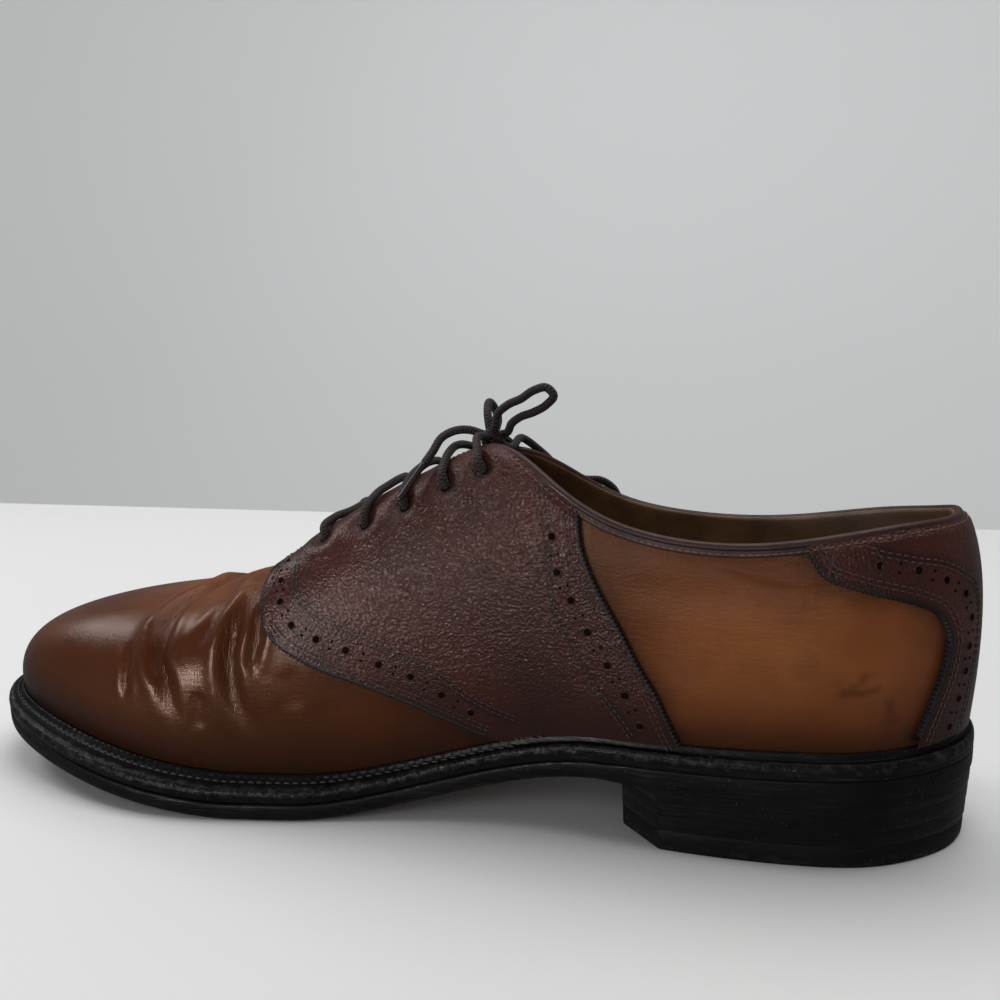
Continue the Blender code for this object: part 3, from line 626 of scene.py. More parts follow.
def tan_leather():
    """Polished tan calf: darker where the colour attribute's red is high, from burnish at the foot and toe,
    scuffs and painted shade beside the panels' edges; wrinkled where its green is, with painted shade in
    the crease troughs; paler where its blue is, which is painted light and sheen."""
    n = Nodes("tan_calf")
    burnish_and_shade, flex, painted_light = n.painted()[:3]
    cloud = n.noise(28.0, 3.0)
    patch = n.noise(90.0, 5.0)
    clouded = n.span(cloud, 0.35, 0.7)
    base = n.blend(clouded, (0.088, 0.021, 0.005), (0.054, 0.012, 0.0034))
    # Paler where blue is high: painted light on the quarters and painted sheen on the vamp's crown.
    base = n.blend(painted_light, base, n.blend(clouded, (0.285, 0.092, 0.026), (0.185, 0.052, 0.014)))
    base = n.blend(n.span(patch, 0.45, 0.75, 0.0, 0.22), base, (0.070, 0.019, 0.007))
    # Red darkens: burnish and scuffs, and painted shade beside the panels' edges.
    dark = n.maths("ADD", burnish_and_shade, n.span(patch, 0.3, 0.8, -0.12, 0.12))
    base = n.blend(n.span(dark, 0.0, 1.0), base, (0.021, 0.006, 0.0035))
    # Painted shade in the crease troughs, where green is high.
    base = n.blend(n.span(flex, 0.2, 1.0, 0.0, 0.35), base, (0.05, 0.014, 0.007))
    pores = n.noise(2600.0, 2.0)
    across = n.noise(1.0, 3.0, n.stretched((1500.0, 260.0, 260.0)), 0.4)
    lengthways = n.noise(1.0, 3.0, n.stretched((260.0, 300.0, 1300.0)), 0.6)
    fine = n.bump(pores, 0.00006)
    fine = n.bump(n.maths("MULTIPLY", across, n.span(flex, 0.1, 1.0, 0.05, 1.0)), 0.00045, fine)
    lengthways = n.maths("MULTIPLY", lengthways, n.span(painted_light, 0.0, 1.0, 0.4, 1.0))
    fine = n.bump(lengthways, 0.00013, fine)
    rough = n.span(patch, 0.3, 0.7, 0.32, 0.44)
    return n.done(base, rough, fine, Specular_IOR_Level=0.22, Specular_Tint=(1.0, 0.50, 0.28, 1.0),
                  Coat_Weight=0.15, Coat_Roughness=0.18)


def brown_leather(name, light, dark):
    """Dark grained leather: pebbled where the colour attribute's blue is high, smooth and darker where its
    red is; that darkening is painted shade, with grime along the stitches.
    """
    n = Nodes(name)
    burnish_and_shade, flex, grain = n.painted()[:3]
    cloud = n.noise(45.0, 4.0)
    base = n.blend(n.span(cloud, 0.35, 0.68), light, dark)
    # Darker where red is high: painted shade, with grime along the stitches.
    base = n.blend(n.span(burnish_and_shade, 0.0, 1.0), base, (0.014, 0.005, 0.005))
    pebble = n.cells(1350.0, "SMOOTH_F1")
    small = n.cells(2300.0, "F1")
    wrinkle = n.noise(1.0, 4.0, n.stretched((520.0, 600.0, 1200.0)), 1.2)
    rough_grain = n.maths("MULTIPLY", n.maths("ADD", pebble, n.maths("MULTIPLY", wrinkle, 0.9)), grain)
    normal = n.bump(rough_grain, 0.00027)
    normal = n.bump(small, 0.00005, normal)
    normal = n.bump(n.maths("MULTIPLY", wrinkle, n.span(flex, 0.1, 1.0, 0.0, 1.0)), 0.0004, normal)
    rough = n.span(cloud, 0.3, 0.7, 0.34, 0.46)
    return n.done(base, rough, normal, Specular_IOR_Level=0.22, Specular_Tint=(1.0, 0.62, 0.52, 1.0),
                  Coat_Weight=0.17, Coat_Roughness=0.20)


def plain_leather(name, light, dark, roughness, grain=900.0, depth=0.00012, **constants):
    n = Nodes(name)
    cloud = n.noise(120.0, 5.0)
    base = n.blend(n.span(cloud, 0.35, 0.7), light, dark)
    normal = n.bump(n.noise(grain, 4.0), depth)
    return n.done(base, n.span(cloud, 0.3, 0.7, roughness - 0.05, roughness + 0.07), normal, **constants)


def black_edge(name, roughness, speck, scratch=(90.0, 90.0, 1500.0)):
    """Waxed black edge leather with fine scratches and a few pale specks of dust: lighter where the colour
    attribute's red is high, from scuffs and, on the welt's rounded edge, a painted highlight; bare of wax
    where its green is."""
    n = Nodes(name)
    scuff_and_highlight_mask, bare = n.painted()[:2]
    cloud = n.noise(70.0, 5.0)
    lines = n.noise(1.0, 3.0, n.stretched(scratch), 0.3)
    dots = n.noise(1500.0, 1.0)
    base = n.blend(n.span(cloud, 0.3, 0.7), (0.0040, 0.0038, 0.0040), (0.0085, 0.0080, 0.0080))
    base = n.blend(n.span(lines, 0.62, 0.78, 0.0, 0.35), base, (0.05, 0.046, 0.045))
    # Lighter where red is high: scuffs, and on the welt's rounded edge a painted highlight.
    scuff_and_highlight = n.maths("MULTIPLY", scuff_and_highlight_mask, n.span(n.noise(420.0, 6.0), 0.48, 0.72, 0.0, 0.8))
    base = n.blend(scuff_and_highlight, base, (0.046, 0.039, 0.033))
    base = n.blend(bare, base, (0.11, 0.042, 0.018))
    base = n.blend(n.span(dots, 0.74, 0.80, 0.0, speck), base, (0.20, 0.18, 0.16))
    normal = n.bump(lines, 0.00012)
    normal = n.bump(cloud, 0.0009, normal)
    normal = n.bump(n.maths("MULTIPLY", scuff_and_highlight_mask, n.noise(420.0, 4.0)), 0.0006, normal)
    rough = n.span(lines, 0.3, 0.75, roughness, roughness + 0.2)
    return n.done(base, rough, normal, Specular_IOR_Level=0.10)


def woven(name, colour, turns):
    """Round woven lace: two families of threads from the tube's own UV map, in lace diameters."""
    n = Nodes(name)
    place = n.add("ShaderNodeUVMap", uv_map="braid").outputs[0]
    parts = n.add("ShaderNodeSeparateXYZ", Vector=place).outputs
    ribs = []
    for sign in (1.0, -1.0):
        round_it = n.maths("MULTIPLY", parts[0], turns * sign)
        phase = n.maths("ADD", round_it, n.maths("MULTIPLY", parts[1], 2.6))
        ribs.append(n.maths("SINE", n.maths("MULTIPLY", phase, math.tau)))
    weave = n.maths("MAXIMUM", ribs[0], ribs[1])
    base = n.blend(n.span(weave, -0.4, 1.0), tuple(0.35 * c for c in colour), colour)
    normal = n.bump(weave, 0.00022)
    return n.done(base, 0.62, normal, Sheen_Weight=0.08, Sheen_Roughness=0.5, Specular_IOR_Level=0.3)


TAN = tan_leather()
SADDLE_BROWN = brown_leather("saddle_brown", (0.056, 0.0115, 0.0075), (0.026, 0.0062, 0.0052))
COUNTER_BROWN = brown_leather("counter_brown", (0.058, 0.0150, 0.0100), (0.030, 0.0085, 0.0070))
BINDING = plain_leather("binding", (0.050, 0.015, 0.011), (0.028, 0.009, 0.008), 0.46, Coat_Weight=0.08,
                        Specular_IOR_Level=0.25)
CUT_EDGE = plain_leather("cut_edge", (0.012, 0.006, 0.005), (0.006, 0.003, 0.003), 0.6,
                         Specular_IOR_Level=0.3)
LINING = plain_leather("lining", (0.16, 0.085, 0.036), (0.085, 0.046, 0.022), 0.55)
TONGUE_BROWN = plain_leather("tongue_brown", (0.075, 0.035, 0.024), (0.045, 0.022, 0.017), 0.5)
SOCK = plain_leather("sock", (0.19, 0.110, 0.055), (0.14, 0.080, 0.040), 0.6)
WELT_BLACK = black_edge("welt_black", 0.30, 0.6)
SOLE_BLACK = black_edge("sole_black", 0.34, 0.5)
HEEL_BLACK = black_edge("heel_black", 0.30, 0.45, (60.0, 60.0, 2200.0))
LIFT_BLACK = black_edge("lift_black", 0.45, 0.6)
TREAD = plain_leather("tread", (0.075, 0.024, 0.014), (0.030, 0.012, 0.009), 0.55, 500.0, 0.0004)
THREAD_BROWN = plain_leather("thread_brown", (0.070, 0.038, 0.028), (0.034, 0.018, 0.014), 0.7)
THREAD_TAN = plain_leather("thread_tan", (0.16, 0.085, 0.055), (0.09, 0.045, 0.028), 0.7)
THREAD_BLACK = plain_leather("thread_black", (0.020, 0.018, 0.018), (0.008, 0.008, 0.009), 0.6)
# Near-black discs that stand in for the shade inside the punched holes and the eyelets: painted shade.
HOLE_SHADE = plain_leather("hole_shade", (0.006, 0.004, 0.004), (0.003, 0.002, 0.002), 0.9,
                          Specular_IOR_Level=0.05)
LACE_BROWN = woven("lace_brown", (0.028, 0.016, 0.011), 3.0)
AGLET_DARK = plain_leather("aglet_dark", (0.030, 0.022, 0.020), (0.020, 0.016, 0.015), 0.14, 300.0, 0.00002)

# Making pieces


def dress(obj, slot, *nodes):
    """Puts a piece on the shoe: it rides on the body and stands for the nodes, which it hides; the slot is
    not used.
    """
    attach(obj, "root")
    if nodes:
        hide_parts(*nodes)
    return obj


def mesh_piece(name, points, faces, finish, colours=None, braid=None, smooth=True):
    mesh = bpy.data.meshes.new(name)
    mesh.from_pydata(np.asarray(points, float).reshape(-1, 3).tolist(), [], faces)
    if colours is not None:
        layer = mesh.color_attributes.new("wear", "FLOAT_COLOR", "POINT")
        flat = np.ones((len(mesh.vertices), 4), np.float32)
        flat[:, :3] = np.asarray(colours, np.float32).reshape(-1, 3)
        layer.data.foreach_set("color", flat.ravel())
    if braid is not None:
        corners = np.empty(len(mesh.loops), np.int32)
        mesh.loops.foreach_get("vertex_index", corners)
        layer = mesh.uv_layers.new(name="braid")
        layer.data.foreach_set("uv", np.asarray(braid, np.float32)[corners].ravel())
    mesh.materials.append(finish)
    if smooth:
        mesh.shade_smooth()
    obj = bpy.data.objects.new(name, mesh)
    bpy.context.scene.collection.objects.link(obj)
    return obj


def grid_faces(rows, columns, closed=False):
    """Quads of a grid of points, row by row; a closed grid joins each row's end to its start."""
    faces = []
    for i in range(rows - 1):
        for j in range(columns if closed else columns - 1):
            k = (j + 1) % columns
            faces.append((i * columns + j, i * columns + k, (i + 1) * columns + k, (i + 1) * columns + j))
    return faces


def end_faces(rows, columns, count):
    """The two faces that close a grid of rings at its ends; count is the points of a ring."""
    last = (rows - 1) * columns
    return [tuple(range(count))[::-1], tuple(range(last, last + count))]


def grid_piece(name, points, closed, finish, colours=None):
    rows, columns = points.shape[:2]
    return mesh_piece(name, points, grid_faces(rows, columns, closed), finish, colours)


def scattered(name, shape, places, finish):
    """Copies of a small shape, given in (along, aside, out), at each place: points, out and along."""
    corners, faces = shape
    points, out, along = (np.concatenate([place[k] for place in places]) for k in range(3))
    aside = np.cross(out, along)
    axes = np.stack([along, aside, out], 1)
    made = points[:, None] + np.einsum("kc,ncx->nkx", corners, axes)
    count = len(corners)
    everything = [tuple(i * count + j for j in face) for i in range(len(points)) for face in faces]
    return mesh_piece(name, made, everything, finish)


def ring_shape(profile, segments):
    """A turned ring about the out axis from (radius, height) pairs."""
    angles = np.linspace(0, math.tau, segments, endpoint=False)
    corners = [(r * math.cos(a), r * math.sin(a), h) for r, h in profile for a in angles]
    return np.array(corners), grid_faces(len(profile), segments, closed=True)


def lathe_shape(profile, segments):
    """A turned shape about the out axis from (radius, height) pairs, closed by a centre point at the end."""
    corners, faces = ring_shape(profile[:-1], segments)
    corners = np.concatenate([corners, [(0.0, 0.0, profile[-1][1])]])
    last = (len(profile) - 2) * segments
    faces += [(last + i, last + (i + 1) % segments, len(corners) - 1) for i in range(segments)]
    return corners, faces


def stitch_shape(length, radius):
    """One stitch: a short rounded length of thread that dips into the leather at both ends."""
    rings = []
    around = np.arange(6) * math.tau / 6
    for t in np.linspace(0.12, math.pi - 0.12, 5):
        along, height = -0.5 * length * math.cos(t), radius * (1.6 * math.sin(t) - 1.0)
        size = radius * math.sin(t) ** 0.5
        rings += [(along, size * math.cos(a), height + size * math.sin(a)) for a in around]
    return np.array(rings), grid_faces(5, 6, closed=True)


def unit(vectors):
    return vectors / np.linalg.norm(vectors, axis=-1, keepdims=True)


def line_on(uv, height, shift=0.0, middle=None):
    """Points, outward and forward directions of a line on the upper, moved sideways towards the middle."""
    points = dressed(uv[:, 0], uv[:, 1], height)
    out = normals(uv[:, 0], uv[:, 1])
    along = unit(np.gradient(points, axis=0))
    if middle is not None:
        aside = np.cross(out, along)
        aside *= np.sign(((skin(*middle) - points) * aside).sum())
        points = points + aside * shift
    return points, out, along


def route_through(points, step):
    """Points at even steps along a smooth curve through a route's own points."""
    route = np.array(points, float)
    knots = lengths_along(route)
    fine = np.linspace(0, knots[-1], 1200)
    slopes = [np.gradient(route[:, axis], knots) for axis in range(3)]
    curve = np.stack([curve_at(knots, route[:, axis], slopes[axis], fine) for axis in range(3)], -1)
    length = lengths_along(curve)
    at = np.linspace(0, length[-1], max(2, round(length[-1] / step)) + 1)
    return np.stack([np.interp(at, length, curve[:, axis]) for axis in range(3)], -1)


def frames_along(path):
    """Unit tangents and two crosswise directions along a path, with no twist."""
    along = unit(np.gradient(path, axis=0))
    first = np.empty_like(path)
    start = np.cross(along[0], (0.0, 0.0, 1.0))
    first[0] = unit(start) if np.linalg.norm(start) > 1e-3 else np.array((1.0, 0.0, 0.0))
    for i in range(1, len(path)):
        carried = first[i - 1] - along[i] * first[i - 1].dot(along[i])
        first[i] = unit(carried)
    return along, first, np.cross(along, first)


def tube(name, path, radius, finish, segments=14, sizes=None):
    """A round tube on a path; sizes are its radii along the path as shares of the radius."""
    _, first, second = frames_along(path)
    angles = np.linspace(0, math.tau, segments + 1)
    sizes = np.ones(len(path)) if sizes is None else np.asarray(sizes)
    spread = radius * sizes[:, None, None]
    rings = path[:, None] + spread * (
        first[:, None] * np.cos(angles)[None, :, None] + second[:, None] * np.sin(angles)[None, :, None]
    )
    length = lengths_along(path)
    turn, way = np.linspace(0, 1, segments + 1)[None], length[:, None] / (2 * radius)
    places = np.stack(np.broadcast_arrays(turn, way), -1)
    faces = grid_faces(len(path), segments + 1) + end_faces(len(path), segments + 1, segments)
    return mesh_piece(name, rings, faces, finish, braid=places.reshape(-1, 2))


def joined(name, pieces):
    """One object from several, which all have the same material."""
    bpy.ops.object.select_all(action="DESELECT")
    for piece in pieces:
        piece.select_set(True)
    bpy.context.view_layer.objects.active = pieces[0]
    bpy.ops.object.join()
    pieces[0].name = name
    return pieces[0]


# Camera


def add_camera():
    yaw, pitch, roll = (math.radians(angle) for angle in (CAMERA_YAW, CAMERA_PITCH, CAMERA_ROLL))
    forward = Vector((math.sin(yaw) * math.cos(pitch), math.cos(yaw) * math.cos(pitch), -math.sin(pitch)))
    level = Vector((math.cos(yaw), -math.sin(yaw), 0.0))
    above = level.cross(forward)
    right = math.cos(roll) * level + math.sin(roll) * above
    up = -math.sin(roll) * level + math.cos(roll) * above
    data = bpy.data.cameras.new("camera")
    data.sensor_width = 36.0
    data.lens = 36.0 * FOCAL
    data.clip_start = 0.01
    camera = bpy.data.objects.new("camera", data)
    camera.matrix_world = Matrix((right, up, -forward)).transposed().to_4x4()
    camera.location = CAMERA_AT
    bpy.context.scene.collection.objects.link(camera)
    bpy.context.scene.camera = camera


# The lace. Its route is the part's own.
OVER = OVERLAY + 3 * GAP + LACE / 2  # height of its centre line over the facings
KNOT_AT = np.array([SHOE_LENGTH * (0.5 - KNOT_RUN), -SIDE_SHIFT, INSTEP_HEIGHT + KNOT_OVER_INSTEP])


def leaving(direction):
    """The first points of a lace that leaves the knot straight, from inside its wraps."""
    away = unit(np.array(direction))
    return [KNOT_AT + away * reach for reach in (KNOT / 2, KNOT + 1.5 * GAP, KNOT + 1.5 * GAP + LACE / 2)]


def from_knot(rows):
    return leaving(rows[0]) + [KNOT_AT + np.array(row) * BOW for row in rows[1:]]


def up_from(u, v, edge_u):
    """The lace out of an eyelet and up to the edge of the facing."""
    part = lambda share: (u + (edge_u - u) * share, v + (1.0 - v) * share)
    inside = [(-0.04, -0.0012), (0.02, 0.0009), (0.14, OVER - 0.0002)]
    first = [dressed(*part(share), height) for share, height in inside]
    return first + [lifted(*part(0.5), OVER), lifted(edge_u, 1.0, OVER)]


def make_lace():
    for number, (u, v, edge_u) in enumerate(EYELETS[:-1], start=1):
        route = up_from(u, v, edge_u) + up_from(2.0 - u, v, 2.0 - edge_u)[::-1]
        bar = tube(f"lace_crossing_{number}", route_through(route, LACE_STEP), LACE / 2, LACE_BROWN)
        dress(bar, "lace", f"lace_bar_{number}")
    u, v, edge_u = EYELETS[-1]
    for side, start, direction in (
        ("medial", up_from(u, v, edge_u), MEDIAL_STRAND),
        ("lateral", up_from(2.0 - u, v, 2.0 - edge_u), LATERAL_STRAND),
    ):
        route = start + leaving(direction)[::-1] + [KNOT_AT]
        strand = tube(f"lace_top_{side}", route_through(route, LACE_STEP), LACE / 2, LACE_BROWN)
        dress(strand, "lace", f"lace_strand_{side}")
    knot = make_knot()
    for name, rows, extra in (("upright", UPRIGHT_LOOP, [knot]), ("rear", REAR_LOOP, [])):
        path = route_through(from_knot(rows[:-1]) + leaving(rows[-1])[::-1], LACE_STEP)
        loop = dress(tube(f"bow_loop_{name}", path, LACE / 2, LACE_BROWN), "lace", f"lace_loop_{name}")
    ends = {
        "medial": from_knot(MEDIAL_END),
        "lateral": leaving(LATERAL_LEAVE) + [lifted(u, v, height * LACE) for u, v, height in LATERAL_END],
    }
    for side, route in ends.items():
        path = route_through(route, LACE_STEP)
        away = unit(path[-1] - path[-2])
        tip = path[-1] + away * np.linspace(GAP, AGLET_LENGTH, 24)[:, None]
        whole = np.concatenate([path, tip[:-1]])
        inside = np.arange(len(whole)) >= len(path)
        lace = tube(f"bow_end_{side}", whole, LACE / 2, LACE_BROWN, sizes=np.where(inside, 0.6, 1.0))
        dress(lace, "lace", f"lace_end_{side}")
        share = np.linspace(0, 1, len(tip))
        shape = 1.0 + 0.12 * (share < 0.06) - 0.55 * ease((share - 0.93) / 0.07)
        cap = tube(f"bow_aglet_{side}", tip, AGLET_RADIUS, AGLET_DARK, sizes=shape)
        dress(cap, "aglet", f"aglet_{side}")


def make_knot():
    """Two flat wraps round the crossing, and the strand that they hold."""
    turn = np.linspace(0, math.tau, 60)
    wave, swing, twist = np.sin(turn), np.cos(turn), np.sin(2 * turn)
    rings = []
    for tilt, offset in ((0.25, -0.0011), (0.05, 0.0011)):
        rings.append(np.stack([offset + tilt * WRAP * wave, WRAP * swing, 0.8 * WRAP * wave], -1))
    rings.append(np.stack([HELD * swing, 0.6 * HELD * wave, 0.3 * HELD * twist], -1))
    parts = [tube(f"knot_{k}", KNOT_AT + ring, 0.42 * LACE, LACE_BROWN) for k, ring in enumerate(rings)]
    return dress(joined("bow_knot", parts), "lace", "lace_knot")


# The upper and its panels


def rounded_edge(u, angles):
    """Rows of the upper's rounded top edge, at angles from its outer face."""
    edge, out = skin(u, 1.0), normals(u, 1.0)
    rise = unit(edge - skin(u, 0.985))
    return np.concatenate([
        edge + out * (WALL / 2 * (math.cos(t) - 1.0)) + rise * (WALL / 2 * math.sin(t)) for t in angles
    ])


def around_upper(count):
    """u all round the upper, closer together over the vamp, where the creases are."""
    fine = np.linspace(0, 2, 4000)
    density = 1.0 + 1.6 * ease((0.5 - np.abs(fine - 1.0)) / 0.12)
    share = np.concatenate([[0.0], np.cumsum(0.5 * (density[1:] + density[:-1]))])
    return np.interp(np.linspace(0, share[-1], count, endpoint=False), share, fine)


def wear_and_light_colours(u, v, base):
    """Red darkens: burnish at the foot and toe, scuffs, and painted shade beside the panels' edges. Green is
    flex, which on the tan leather also paints shade into the creases. Blue is painted light: the lit middle
    of the quarters and a painted sheen on the vamp's crown.
    """
    half, _ = half_of(u)
    near = wear(base)[1]
    foot = ease(1.0 - v / 0.16) * (1.0 - 0.5 * ease((0.36 - half) / 0.10))
    toe = ease((half - 0.80) / 0.18) * ease(1.0 - v / 0.34)
    # Darker beside the panels' edges: painted shade.
    seams = [polyline(rows, 0.002) for rows in (SADDLE_FRONT, SADDLE_REAR, COUNTER_FRONT)]
    seam = near_lines(base, seams + [mirrored(line) for line in seams], SEAM_SHADE)
    scuffed = near_lines(base, [polyline(rows, 0.0006) for rows in SCUFFS], SCUFF_REACH)
    red = np.clip(0.85 * foot + 0.60 * toe + 0.45 * seam + 0.5 * scuffed, 0, 1)
    # The middle of each quarter's height is paler: painted light.
    quarter_light = ease((0.36 - half) / 0.10) * ease((half - 0.04) / 0.10)
    quarter_light = quarter_light * np.sin(np.clip(v, 0, 1) * math.pi) ** 1.5
    # The vamp's crown is paler: painted sheen.
    crown = 0.55 * ease((half - 0.62) / 0.06) * ease((v - 0.45) / 0.3)
    return np.stack([red, near, np.clip(quarter_light + crown, 0, 1) + 0 * red], -1)


def make_upper():
    u = around_upper(UPPER_STEPS[0])[None]
    v = np.linspace(0, 1, UPPER_STEPS[1])[:, None]
    over = np.linspace(0, math.pi, 7)[1:-1]
    points = np.concatenate([dressed(u, v, 0.0), rounded_edge(u, over[:3])])
    colours = wear_and_light_colours(*np.broadcast_arrays(u, v), skin(u, v))
    colours = np.concatenate([colours, np.repeat(colours[-1:], 3, 0)])
    dress(grid_piece("vamp_and_quarters", points, True, TAN, colours), "tan_leather", "upper")
    inside = dressed(u, np.linspace(1, 0.0, LINING_STEPS)[:, None], -WALL)
    points = np.concatenate([rounded_edge(u, over[2:]), inside])
    dress(grid_piece("lining", points, True, LINING), "tan_leather", "upper")


def panel_grid(rows, steps, first_edge):
    """(u, v) of a panel from its lower edge to the top edge, both sides of the shoe; its first column can
    follow a curve instead of a straight line."""
    rows = np.array(rows)
    knots = lengths_along(skin(rows[:, 0], rows[:, 1]))
    at = np.linspace(0, knots[-1], steps[0] + 1)
    slopes = [np.gradient(rows[:, i], knots) for i in range(3)]
    edge_u, edge_v, top_u = (curve_at(knots, rows[:, i], slopes[i], at) for i in range(3))
    mirror = 2.0 if rows[-1, 0] > 0.5 else 0.0
    edge_u = np.concatenate([edge_u, mirror - edge_u[-2::-1]])
    top_u = np.concatenate([top_u, mirror - top_u[-2::-1]])
    edge_v = np.concatenate([edge_v, edge_v[-2::-1]])
    rise = np.linspace(0, 1, steps[1] + 1)[:, None]
    share = 0.4 * rise + 0.6 * np.sin(rise * math.pi / 2)
    u, v = edge_u + (top_u - edge_u) * share, np.maximum(edge_v + (1.0 - edge_v) * share, 0.004)
    if first_edge is not None:
        curve = np.array(first_edge)
        bow = np.interp(v[:, 0], curve[:, 1], curve[:, 0]) - u[:, 0]
        columns = np.arange(u.shape[1])
        u += bow[:, None] * (ease(1.0 - columns / 26.0) - ease(1.0 - (columns[-1] - columns) / 26.0))
    return u, v


def pucker(points):
    """Height that the pull of the lace adds round each eyelet, and how near the eyelet is."""
    height = np.zeros(points.shape[:-1])
    near = np.zeros(points.shape[:-1])
    for u, v, _ in EYELETS:
        for side_u in (u, 2.0 - u):
            away = np.linalg.norm(points - skin(side_u, v), axis=-1)
            dip = -PUCKER[0] * np.exp(-((away / PUCKER[1]) ** 2))
            height += dip + PUCKER_RIM[0] * np.exp(-(((away - PUCKER_RIM[1]) / PUCKER_RIM[2]) ** 2))
            near = np.maximum(near, np.exp(-((away / 0.003) ** 2)))
    return height, near


def panel_height(v):
    """The panel's upper face over the upper; the leather is skived thin under the binding."""
    return OVERLAY_LIFT + OVERLAY * (1.0 - 0.9 * ease((v - SKIVED_FROM) / 0.07))


def near_lines(points, lines, reach):
    """How near each point is to a line of the upper, from 1 on it to 0 at the reach."""
    flat = points.reshape(-1, 3)
    near = np.zeros(len(flat))
    for uv in lines:
        inside, apart = away_from(skin(*uv.T), flat, reach)
        near[inside] = np.maximum(near[inside], ease(1.0 - apart.min(1) / reach))
    return near.reshape(points.shape[:-1])


def make_panel(name, rows, steps, finish, slot, node, seams, first_edge=None):
    u, v = panel_grid(rows, steps, first_edge)
    base = skin(u, v)
    bump, near = pucker(base)
    points = dressed(u, v, panel_height(v) + bump)
    half, _ = half_of(u)
    low = ease(1.0 - v / 0.30)
    grain = (1.0 - 0.85 * ease(1.0 - v / 0.45)) * (0.5 + 0.5 * ease((0.62 - half) / 0.14))
    lines = [polyline(line, 0.0015) for line in seams]
    stitch_shade_and_grime = near_lines(base, lines + [mirrored(line) for line in lines], STITCH_SHADE_REACH)
    # Darker towards the panel's foot and in the dip round each eyelet: painted shade; darker along the
    # stitches: painted shade of the grooves, and grime.
    red = np.clip(0.6 * low + 0.9 * near + 0.75 * stitch_shade_and_grime, 0, 1)
    flex = np.clip(near * 1.5 + wear(base)[1], 0, 1)
    return dress(grid_piece(name, points, False, finish, np.stack([red, flex, grain], -1)), slot, node)


def pinked_edge(name, lines, slot):
    """A dark serrated border along the edges of a panel."""
    strips = []
    for rows, middle in lines:
        uv = polyline(rows, PINK_PITCH / 6)
        base, out, along = line_on(uv, 0.0)
        aside = np.cross(out, along)
        aside *= np.sign(((skin(*middle) - base) * aside).sum())
        count = np.arange(len(uv))
        wave = np.abs((count % 6) / 3.0 - 1.0)
        reach = -PINK_DEPTH * wave
        top = panel_height(uv[:, 1])
        levels = []
        for inwards, share, height in (
            (0.0007, 0.0, top - 0.00003), (0.0004, 0.0, top + 0.00006), (0.0, 0.6, top),
            (0.0, 1.0, top - 0.0004), (0.0, 1.0, 0.0 * top - 0.0002),
        ):
            levels.append(base + aside * (inwards + reach * share)[:, None] + out * height[:, None])
        strips.append(grid_piece(f"{name}_{len(strips)}", np.array(levels), False, CUT_EDGE))
    return dress(joined(name, strips), slot)


def seam(rows, height, shifts, middle):
    """Rows of stitches beside a line, on both sides of the shoe."""
    places = []
    uv = polyline(rows, STITCH)
    other = (2.0 - middle[0], middle[1])
    for shift in shifts:
        places.append(line_on(uv, height, shift, middle))
        places.append(line_on(mirrored(uv), height, shift, other))
    return places


def make_panels():
    in_saddle, in_counter = (0.50, 0.50), (0.02, 0.50)
    far_saddle, far_counter = (1.50, 0.50), (1.98, 0.50)
    make_panel("saddle_panel", SADDLE_ROWS, SADDLE_STEPS, SADDLE_BROWN, "saddle_leather", "saddle",
               (SADDLE_FRONT, SADDLE_REAR, FRONT_INNER, REAR_INNER), SADDLE_REAR)
    make_panel("counter_panel", COUNTER_ROWS, COUNTER_STEPS, COUNTER_BROWN, "heel_counter_leather",
               "heel_counter", (COUNTER_FRONT, COUNTER_INNER))
    far = lambda rows: [(2.0 - u, v) for u, v in rows]
    pinked_edge("saddle_pinking", [
        (SADDLE_FRONT, in_saddle), (far(SADDLE_FRONT), far_saddle),
        (SADDLE_REAR, in_saddle), (far(SADDLE_REAR), far_saddle),
    ], "saddle_leather")
    pinked_edge("counter_pinking", [
        (COUNTER_FRONT, in_counter), (far(COUNTER_FRONT), far_counter),
    ], "heel_counter_leather")
    top = OVERLAY + OVERLAY_LIFT
    near_edge, inner = (SEAM_INSET, SEAM_INSET + SEAM_GAP), (0.0, SEAM_GAP)
    shape = stitch_shape(STITCH_LENGTH, THREAD)
    for name, slot, middle, seams in (
        ("saddle", "saddle_leather", in_saddle, ((SADDLE_FRONT, near_edge), (SADDLE_REAR, near_edge),
                                                 (FRONT_INNER, inner), (REAR_INNER, inner))),
        ("counter", "heel_counter_leather", in_counter, ((COUNTER_FRONT, near_edge), (COUNTER_INNER, inner))),
    ):
        places = [place for rows, shifts in seams for place in seam(rows, top, shifts, middle)]
        dress(scattered(name + "_stitches", shape, places, THREAD_BROWN), slot)
    punched = lathe_shape(((PUNCH * 1.05, -0.0001), (PUNCH, 0.00004), (0.0, 0.00002)), 14)
    pricked = lathe_shape(((PINHOLE * 1.3, -0.0001), (PINHOLE, 0.00006), (0.0, 0.00003)), 8)
    profile = ((1.45, -0.0001), (1.25, 0.00012), (1.1, 0.00018), (0.97, 0.0))
    rims = ring_shape([(PUNCH * share, height) for share, height in profile], 18)
    for name, rows, finish, slot in (
        ("saddle_front", FRONT_HOLES, SADDLE_BROWN, "saddle_leather"),
        ("saddle_rear", REAR_HOLES, SADDLE_BROWN, "saddle_leather"),
        ("counter", COUNTER_HOLES, COUNTER_BROWN, "heel_counter_leather"),
    ):
        big = np.array(rows)
        pairs = 0.5 * (big[1:] + big[:-1])
        large = [line_on(uv, top) for uv in (big, mirrored(big))]
        small = []
        for uv in (pairs, mirrored(pairs)):
            points, out, along = line_on(uv, top)
            aside = np.cross(out, along) * PINHOLE_SPREAD
            small += [(points + aside, out, along), (points - aside, out, along)]
        # The punches and pinholes are near-black discs: painted shade for the holes.
        dress(scattered(name + "_punches", punched, large, HOLE_SHADE), slot)
        dress(scattered(name + "_rims", rims, large, finish), slot)
        dress(scattered(name + "_pinholes", pricked, small, HOLE_SHADE), slot)


